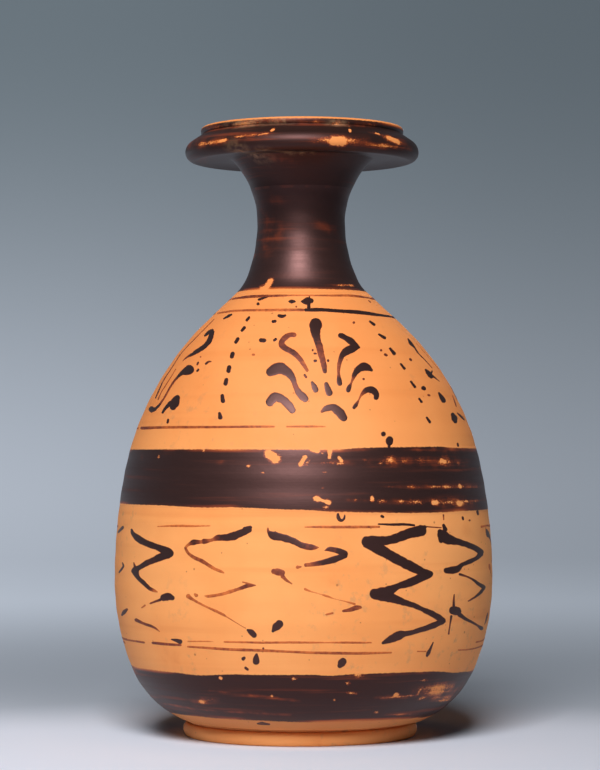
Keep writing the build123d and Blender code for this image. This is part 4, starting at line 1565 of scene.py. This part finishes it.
class FLASK_OT_mouth(bpy.types.Operator):
    """Turns the flaring mouth with its disc, lip and dished top"""

    bl_idname = "flask.mouth"
    bl_label = "Mouth"

    def execute(self, context):
        sizes, throwing, finish = settings(context)
        base = MOUTH_LOW.z
        rim = MOUTH_HIGH.z
        radius = MOUTH_HIGH.x
        waist_to_top = NECK_HIGH.z - NECK_LOW.z - sizes.waist_height
        neck_top = Vector((sizes.neck_top_radius - sizes.waist_radius, waist_to_top))
        neck_flare = 2 * math.atan2(neck_top.x, neck_top.y)
        flare_way = leaning(-neck_flare)
        crease = Vector((sizes.crease_radius, base + sizes.crease_height))
        edge = Vector((radius, base + sizes.edge_height))
        edge_round = sizes.edge_height - sizes.underside_height
        underside = Vector((radius - edge_round, base + sizes.underside_height))
        lip_base = Vector((sizes.lip_radius, rim - sizes.lip_height))
        edge_way = leaning(sizes.edge_slope)
        meeting, meeting_way = arc_meeting(edge, UP, lip_base, edge_way, sizes.edge_arc_ratio)
        groove_top = lip_base + UP * sizes.lip_groove_width
        lip_shoulder = Vector((sizes.lip_radius, rim - sizes.lip_round))
        lip_inner = sizes.lip_radius - sizes.lip_width
        dish = Vector((sizes.dish_radius, rim - sizes.dish_depth))
        throat_top = Vector((sizes.throat_radius, dish.y - sizes.throat_roll))

        outline = Outline(Vector((MOUTH_FOOT_RADIUS, base)), throwing.fine_step)
        outline.arc_to(crease, flare_way)
        outline.arc_to(underside, hollow_way(crease, underside, sizes.underside_hollow))
        outline.arc_to(edge, Vector((1, 0)))
        outline.arc_to(meeting, UP)
        outline.arc_to(lip_base, meeting_way)
        outline.arc_to(groove_top, hollow_way(lip_base, groove_top, sizes.lip_groove_depth))
        outline.line_to(lip_shoulder)
        outline.step = throwing.fine_step / 2
        outline.arc_to(lip_shoulder + Vector((-sizes.lip_round, sizes.lip_round)), UP)
        outline.step = throwing.fine_step
        outline.line_to(Vector((lip_inner, rim)))
        outline.corner()
        outline.line_to(dish)
        outline.arc_to(throat_top, way_into(dish, throat_top, -UP))
        outline.step = throwing.plain_step
        outline.line_to(Vector((sizes.throat_radius, base)))
        outline.close()
        bm = outline.turned(throwing.fine_turns, sizes.soft_edge)
        throw(bm, throwing)
        coat = Coat(bm)
        bare = 0.5 * MM

        def below_the_lip(point):
            across = math.hypot(point.x - throwing.mouth_lean, point.y)
            if across < lip_inner and point.z > throat_top.y:
                return lip_inner - bare - across
            return rim - sizes.lip_line - point.z

        coat.paint(below_the_lip)
        coat.wear(MOUTH_WEAR)
        coat.mark_behind(coat.fleck, 41, 14, edge.y, rim - sizes.lip_round, size=1.8 * MM, strength=0.5)
        coat.mark_behind(coat.thin, 42, 20, crease.y, rim - sizes.lip_round, size=2.0 * MM)
        material = slip_coat("slip_of_mouth", finish, streaks=0.3, sheen=0.6)
        piece_from(bm, "mouth_clay", "mouth", material)
        return {"FINISHED"}


class FLASK_OT_slip_joints(bpy.types.Operator):
    """Turns the three layers of slip that hold the clay pieces together"""

    bl_idname = "flask.slip_joints"
    bl_label = "Slip joints"

    def execute(self, context):
        sizes, throwing, finish = settings(context)

        face = FOOT_SLIP_HIGH.x - FOOT_SLIP_AXIS - sizes.foot_slip_bulge
        low = Vector((face, FOOT_HIGH.z))
        high = Vector((face, BODY_LOW.z))
        outline = self.layer(low, high, Vector((1, 0)), FOOT_SLIP_AXIS)
        bm = outline.turned(throwing.turns // 2, sizes.soft_edge)
        piece_from(bm, "foot_slip_layer", "foot_slip", plain_clay("clay_of_foot_slip", finish))

        low = Vector((NECK_JOINT_RADIUS, BODY_HIGH.z))
        high = Vector((NECK_HIGH.x, NECK_LOW.z))
        bm = self.layer(low, high, high - low).turned(throwing.turns, sizes.soft_edge)
        throw(bm, throwing)
        piece_from(bm, "neck_slip_layer", "neck_slip", plain_clay("clay_of_neck_slip", finish))

        low = Vector((sizes.neck_top_radius, NECK_HIGH.z))
        high = Vector((MOUTH_FOOT_RADIUS, MOUTH_LOW.z))
        bm = self.layer(low, high, high - low).turned(throwing.fine_turns, sizes.soft_edge)
        throw(bm, throwing)

        worn = 0.45
        fade = 3.0  # degrees

        def worn_dashes(point):
            angle = math.degrees(angle_of(point))
            inside = max(min(angle - start, end - angle) for start, end in JOINT_DASHES)
            return worn * smooth_step(inside, -fade, fade)

        coat = Coat(bm)
        coat.paint(lambda point: Coat.DEEPEST * MM)
        for vert in bm.verts:
            vert[coat.thin] = worn_dashes(vert.co)
        material = slip_coat("slip_of_mouth_slip", finish, streaks=0.12)
        piece_from(bm, "mouth_slip_layer", "mouth_slip", material)
        return {"FINISHED"}

    def layer(self, low, high, way, axis=0.0):
        """The outline of a ring of slip, whose outer face goes from low to high and leaves along way."""
        sizes = bpy.context.scene.flask_sizes
        step = bpy.context.scene.flask_throwing.fine_step / 3
        outline = Outline(Vector((low.x - sizes.slip_width, low.y)), step, axis)
        outline.line_to(low)
        outline.arc_to(high, way.normalized())
        outline.line_to(Vector((low.x - sizes.slip_width, high.y)))
        outline.close()
        return outline


# Operators for the painting


class FLASK_OT_bands(bpy.types.Operator):
    """Brushes two dark bands round the body"""

    bl_idname = "flask.bands"
    bl_label = "Bands"

    def execute(self, context):
        tree = clay_tree()
        finish = context.scene.flask_finish
        flaked = 0.6  # share of the slip's height that a chip takes off
        bands = {
            "middle_band": (MID_BAND_BASE, MID_BAND_TOP, MID_BAND_WEAR, 0.15, 1.0),
            "low_band": (LOW_BAND_BASE, LOW_BAND_TOP, LOW_BAND_WEAR, 0.26, 0.6),
        }
        for seed, (name, (base, top, wear, streaks, sheen)) in enumerate(bands.items()):
            low = edge_line(tree, base)
            high = edge_line(tree, top)
            bm = self.ring(tree, low, high, finish)
            coat = Coat(bm, tree)
            coat.paint(lambda point: self.depth(point, low, high))
            coat.wear(wear)
            ends = (low[0][1], high[0][1])
            coat.mark_behind(coat.fleck, seed, 12, *ends, size=1.3 * MM, strength=0.58)
            coat.mark_behind(coat.fleck, seed + 5, 14, *ends, size=2.0 * MM, strength=0.5)
            coat.mark_behind(coat.thin, seed + 10, 12, *ends, size=2.0 * MM)
            coat.sink(finish.relief * flaked)
            material = slip_coat("slip_of_" + name, finish, streaks, sheen)
            piece_from(bm, name, None, material)
        return {"FINISHED"}

    def depth(self, point, low, high):
        """How far inside a band's edges a point lies."""
        angle = angle_of(point)
        return min(point.z - edge_at(low, angle), edge_at(high, angle) - point.z)

    def ring(self, tree, low, high, finish):
        """A thin closed ring over the clay, its two edges sunk into it."""
        rows = 60
        # Rows under the clay: which, how far up the band, and how many times sunk
        sunk_rows = ((0, 0, 1), (rows, rows, 1), (rows + 1, rows / 2, 3), (rows + 2, 0, 1))
        sunk = -2 * finish.relief
        soft = 0.15 * MM
        bare = 0.3  # share of the relief that the shell keeps past its paint
        turns = round(math.tau * BODY_HIGH.x / finish.coat_step)
        bm = bmesh.new()
        grid = bmesh.ops.create_grid(bm, x_segments=turns, y_segments=rows + 2, size=1)["verts"]
        for column in range(turns + 1):
            angle = math.tau * column / turns - math.pi
            bottom = edge_at(low, angle)
            top = edge_at(high, angle)
            start = bottom - finish.coat_margin
            climb = (top + finish.coat_margin - start) / rows
            for row in range(1, rows):
                height = start + climb * row
                painted = smooth_step(min(height - bottom, top - height), -soft, soft)
                lift = finish.relief * (bare + (1 - bare) * painted)
                grid[row * (turns + 1) + column].co = on_surface(tree, angle, height, lift)
            for row, along, depth in sunk_rows:
                place = on_surface(tree, angle, start + climb * along, sunk * depth)
                grid[row * (turns + 1) + column].co = place
        close_up(bm)
        return bm


class FLASK_OT_palmettes(bpy.types.Operator):
    """Brushes five palmettes on the shoulder"""

    bl_idname = "flask.palmettes"
    bl_label = "Palmettes"

    def execute(self, context):
        brush = Brush(seed=1)
        brush.draw(FRONT_PALMETTE, (144, 216))
        brush.draw(LEFT_PALMETTE)
        brush.draw(RIGHT_PALMETTE)
        hidden = [brush.bead(FRONT_PALMETTE[name], brush.seen) for name in RIGHT_HALF]
        brush.repeat(hidden, 74, hidden[0][0][0])
        brush.dry("palmettes")
        return {"FINISHED"}


class FLASK_OT_dot_rows(bpy.types.Operator):
    """Brushes rows of dots between the palmettes"""

    bl_idname = "flask.dot_rows"
    bl_label = "Dot rows"

    def execute(self, context):
        brush = Brush(seed=2)
        brush.draw(LEFT_DOT_ROW, (151, 295))
        brush.draw(RIGHT_DOT_ROW, (143,))
        brush.draw(STRAY_DOTS)
        brush.dry("dot_rows")
        return {"FINISHED"}


class FLASK_OT_zigzags(bpy.types.Operator):
    """Brushes upright zigzags round the belly"""

    bl_idname = "flask.zigzags"
    bl_label = "Zigzags"

    def execute(self, context):
        brush = Brush(seed=3)
        brush.draw(FAR_LEFT_ZIGZAG)
        brush.draw(LEFT_ZIGZAG, (167, 278))
        brush.draw(MIDDLE_ZIGZAG, (84, 194))
        brush.draw(BOLD_ZIGZAG, (81, 192))
        brush.draw(RIGHT_ZIGZAG, (110,))
        brush.dry("zigzags")
        return {"FINISHED"}


class FLASK_OT_ruled_lines(bpy.types.Operator):
    """Rules thin lines round the body"""

    bl_idname = "flask.ruled_lines"
    bl_label = "Ruled lines"

    def execute(self, context):
        brush = Brush(seed=4)
        brush.draw(RULED_LINES)
        for start, end, load in LINE_ENDS.values():
            brush.rule_behind(start, end, load)
        brush.dry("ruled_lines")
        return {"FINISHED"}


class FLASK_OT_blots(bpy.types.Operator):
    """Drops blots and flecks of slip"""

    bl_idname = "flask.blots"
    bl_label = "Blots"

    def execute(self, context):
        brush = Brush(seed=5)
        brush.draw(BLOTS)
        brush.spatter_behind(26, BODY_LOW.z + 16 * MM, BODY_HIGH.z - 8 * MM)
        brush.dry("blots")
        return {"FINISHED"}


# Stage


class FLASK_OT_stage(bpy.types.Operator):
    """Lays the sweep, hangs the lamps and sets the camera"""

    bl_idname = "flask.stage"
    bl_label = "Stage"

    def execute(self, context):
        stage = context.scene.flask_stage
        context.scene.view_settings.view_transform = "Standard"
        pieces = bpy.data.collections.new("flask_pieces")
        for piece in context.scene.objects:
            if piece.type == "MESH":
                pieces.objects.link(piece)
        self.sweep(stage)
        self.lamp("lamp", stage.lamp_place, stage.lamp_size, stage.lamp_power)
        fill = self.lamp("fill", stage.fill_place, stage.fill_size, stage.fill_power)
        fill.light_linking.receiver_collection = pieces
        fill.visible_glossy = False
        context.scene.world = self.room(stage)
        camera = bpy.data.cameras.new("camera")
        camera.lens = stage.lens
        camera.sensor_width = SENSOR
        camera.clip_start = 0.01
        viewer = bpy.data.objects.new("camera", camera)
        viewer.location = stage.eye
        viewer.rotation_euler = (math.pi / 2 + stage.pitch, 0, 0)
        context.scene.collection.objects.link(viewer)
        context.scene.camera = viewer
        return {"FINISHED"}

    def lamp(self, name, place, size, power):
        """A square soft light that faces the flask."""
        light = bpy.data.lights.new(name, "AREA")
        light.size = size
        light.energy = power
        lamp = bpy.data.objects.new(name, light)
        lamp.location = place
        middle = Vector((0, 0, MOUTH_HIGH.z / 2))
        lamp.rotation_euler = (middle - lamp.location).to_track_quat("-Z", "Y").to_euler()
        lamp.visible_camera = False
        bpy.context.scene.collection.objects.link(lamp)
        return lamp

    def room(self, stage):
        """A dim warm room."""
        world = bpy.data.worlds.new("room")
        world.use_nodes = True
        warm = (1.0, 0.86, 0.74, 1)
        background = world.node_tree.nodes["Background"]
        background.inputs["Color"].default_value = warm
        background.inputs["Strength"].default_value = stage.room_light
        return world

    def sweep(self, stage):
        """A round floor that bends up into a backdrop on all sides."""
        edge = 1.0
        bend = 0.7
        height = 2.4
        bend_steps = 24
        turn_steps = 128
        outline = Outline(Vector((0, 0)), edge)
        outline.line_to(Vector((edge, 0)))
        for count in range(bend_steps):
            turn = (count + 1) / bend_steps * math.pi / 2
            outline.step_to(Vector((edge + bend * math.sin(turn), bend - bend * math.cos(turn))))
        outline.step_to(Vector((edge + bend, height)))
        bm = outline.turned(turn_steps, 0.0)
        for face in bm.faces:
            if face.normal.z < 0:
                face.normal_flip()
        floor = shown(bm, "sweep", self.paper(stage))

    def paper(self, stage):
        """Paper that is pale round the flask and darker in front, with painted shade up the backdrop and on
        the right.
        """
        recipe = Recipe("sweep_paper")
        x, y = recipe.x, recipe.y
        radius = recipe.math("POWER", recipe.plus(recipe.both(x, x), recipe.both(y, y)), 0.5)
        out = recipe.plus(radius, recipe.z)
        behind = recipe.rise(recipe.math("DIVIDE", y, recipe.math("MAXIMUM", radius, 0.1)), 0.0, 0.95)
        tone = recipe.mix(recipe.rise(radius, 0.11, 0.3), stage.near_paper, stage.front_paper)
        tone = recipe.mix(behind, tone, stage.far_paper)
        # Painted shade up the backdrop
        tone = recipe.mix(recipe.rise(out, 1.2, 2.1), tone, stage.high_paper)
        # Painted shade towards the right, near and far
        near_right_painted_shade = recipe.both(recipe.rise(x, -0.16, 0.16), recipe.rise(y, 0.3, 0.0, 0.0, 0.36))
        tone = recipe.mix(near_right_painted_shade, tone, stage.shaded_paper)
        far_right_painted_shade = recipe.both(recipe.rise(x, -0.28, 0.28), recipe.rise(y, 0.0, 0.3, 0.0, 0.45))
        tone = recipe.mix(far_right_painted_shade, tone, stage.shaded_paper)
        path = recipe.node("LightPath").outputs
        looked_at = recipe.plus(path["Is Camera Ray"], path["Is Glossy Ray"], path["Is Transmission Ray"])
        far_behind = recipe.both(behind, recipe.rise(out, 0.1, 0.6))
        far_before = recipe.both(recipe.less(behind), recipe.rise(out, 0.5, 1.3))
        glow = recipe.both(looked_at, recipe.plus(far_behind, far_before), stage.paper_glow)
        recipe.feed(recipe.shader.inputs["Emission Color"], tone)
        recipe.feed(recipe.shader.inputs["Emission Strength"], glow)
        grain = recipe.noise(600, 3)
        return recipe.finish(tone, 0.85, recipe.bump(grain, 0.05 * MM, 0.2), 0.2)


class FLASK_PT_sidebar(bpy.types.Panel):
    """Lists the steps that build the flask"""

    bl_idname = "FLASK_PT_sidebar"
    bl_label = "Painted oil flask"
    bl_space_type = "VIEW_3D"
    bl_region_type = "UI"
    bl_category = "Flask"

    def draw(self, context):
        for step in STEPS:
            self.layout.operator(step.bl_idname)


GROUPS = {
    "flask_sizes": FlaskSizes,
    "flask_throwing": FlaskThrowing,
    "flask_finish": FlaskFinish,
    "flask_stage": FlaskStage,
}
STEPS = (
    FLASK_OT_body,
    FLASK_OT_foot_ring,
    FLASK_OT_neck,
    FLASK_OT_mouth,
    FLASK_OT_slip_joints,
    FLASK_OT_bands,
    FLASK_OT_palmettes,
    FLASK_OT_dot_rows,
    FLASK_OT_zigzags,
    FLASK_OT_ruled_lines,
    FLASK_OT_blots,
    FLASK_OT_stage,
)


def register():
    for name, group in GROUPS.items():
        bpy.utils.register_class(group)
        setattr(bpy.types.Scene, name, PointerProperty(type=group))
    for step in STEPS:
        bpy.utils.register_class(step)
    bpy.utils.register_class(FLASK_PT_sidebar)


def unregister():
    bpy.utils.unregister_class(FLASK_PT_sidebar)
    for step in reversed(STEPS):
        bpy.utils.unregister_class(step)
    for name, group in reversed(GROUPS.items()):
        delattr(bpy.types.Scene, name)
        bpy.utils.unregister_class(group)


def main():
    register()
    for step in STEPS:
        family, name = step.bl_idname.split(".")
        getattr(getattr(bpy.ops, family), name)()


if __name__ == "__main__":
    main()
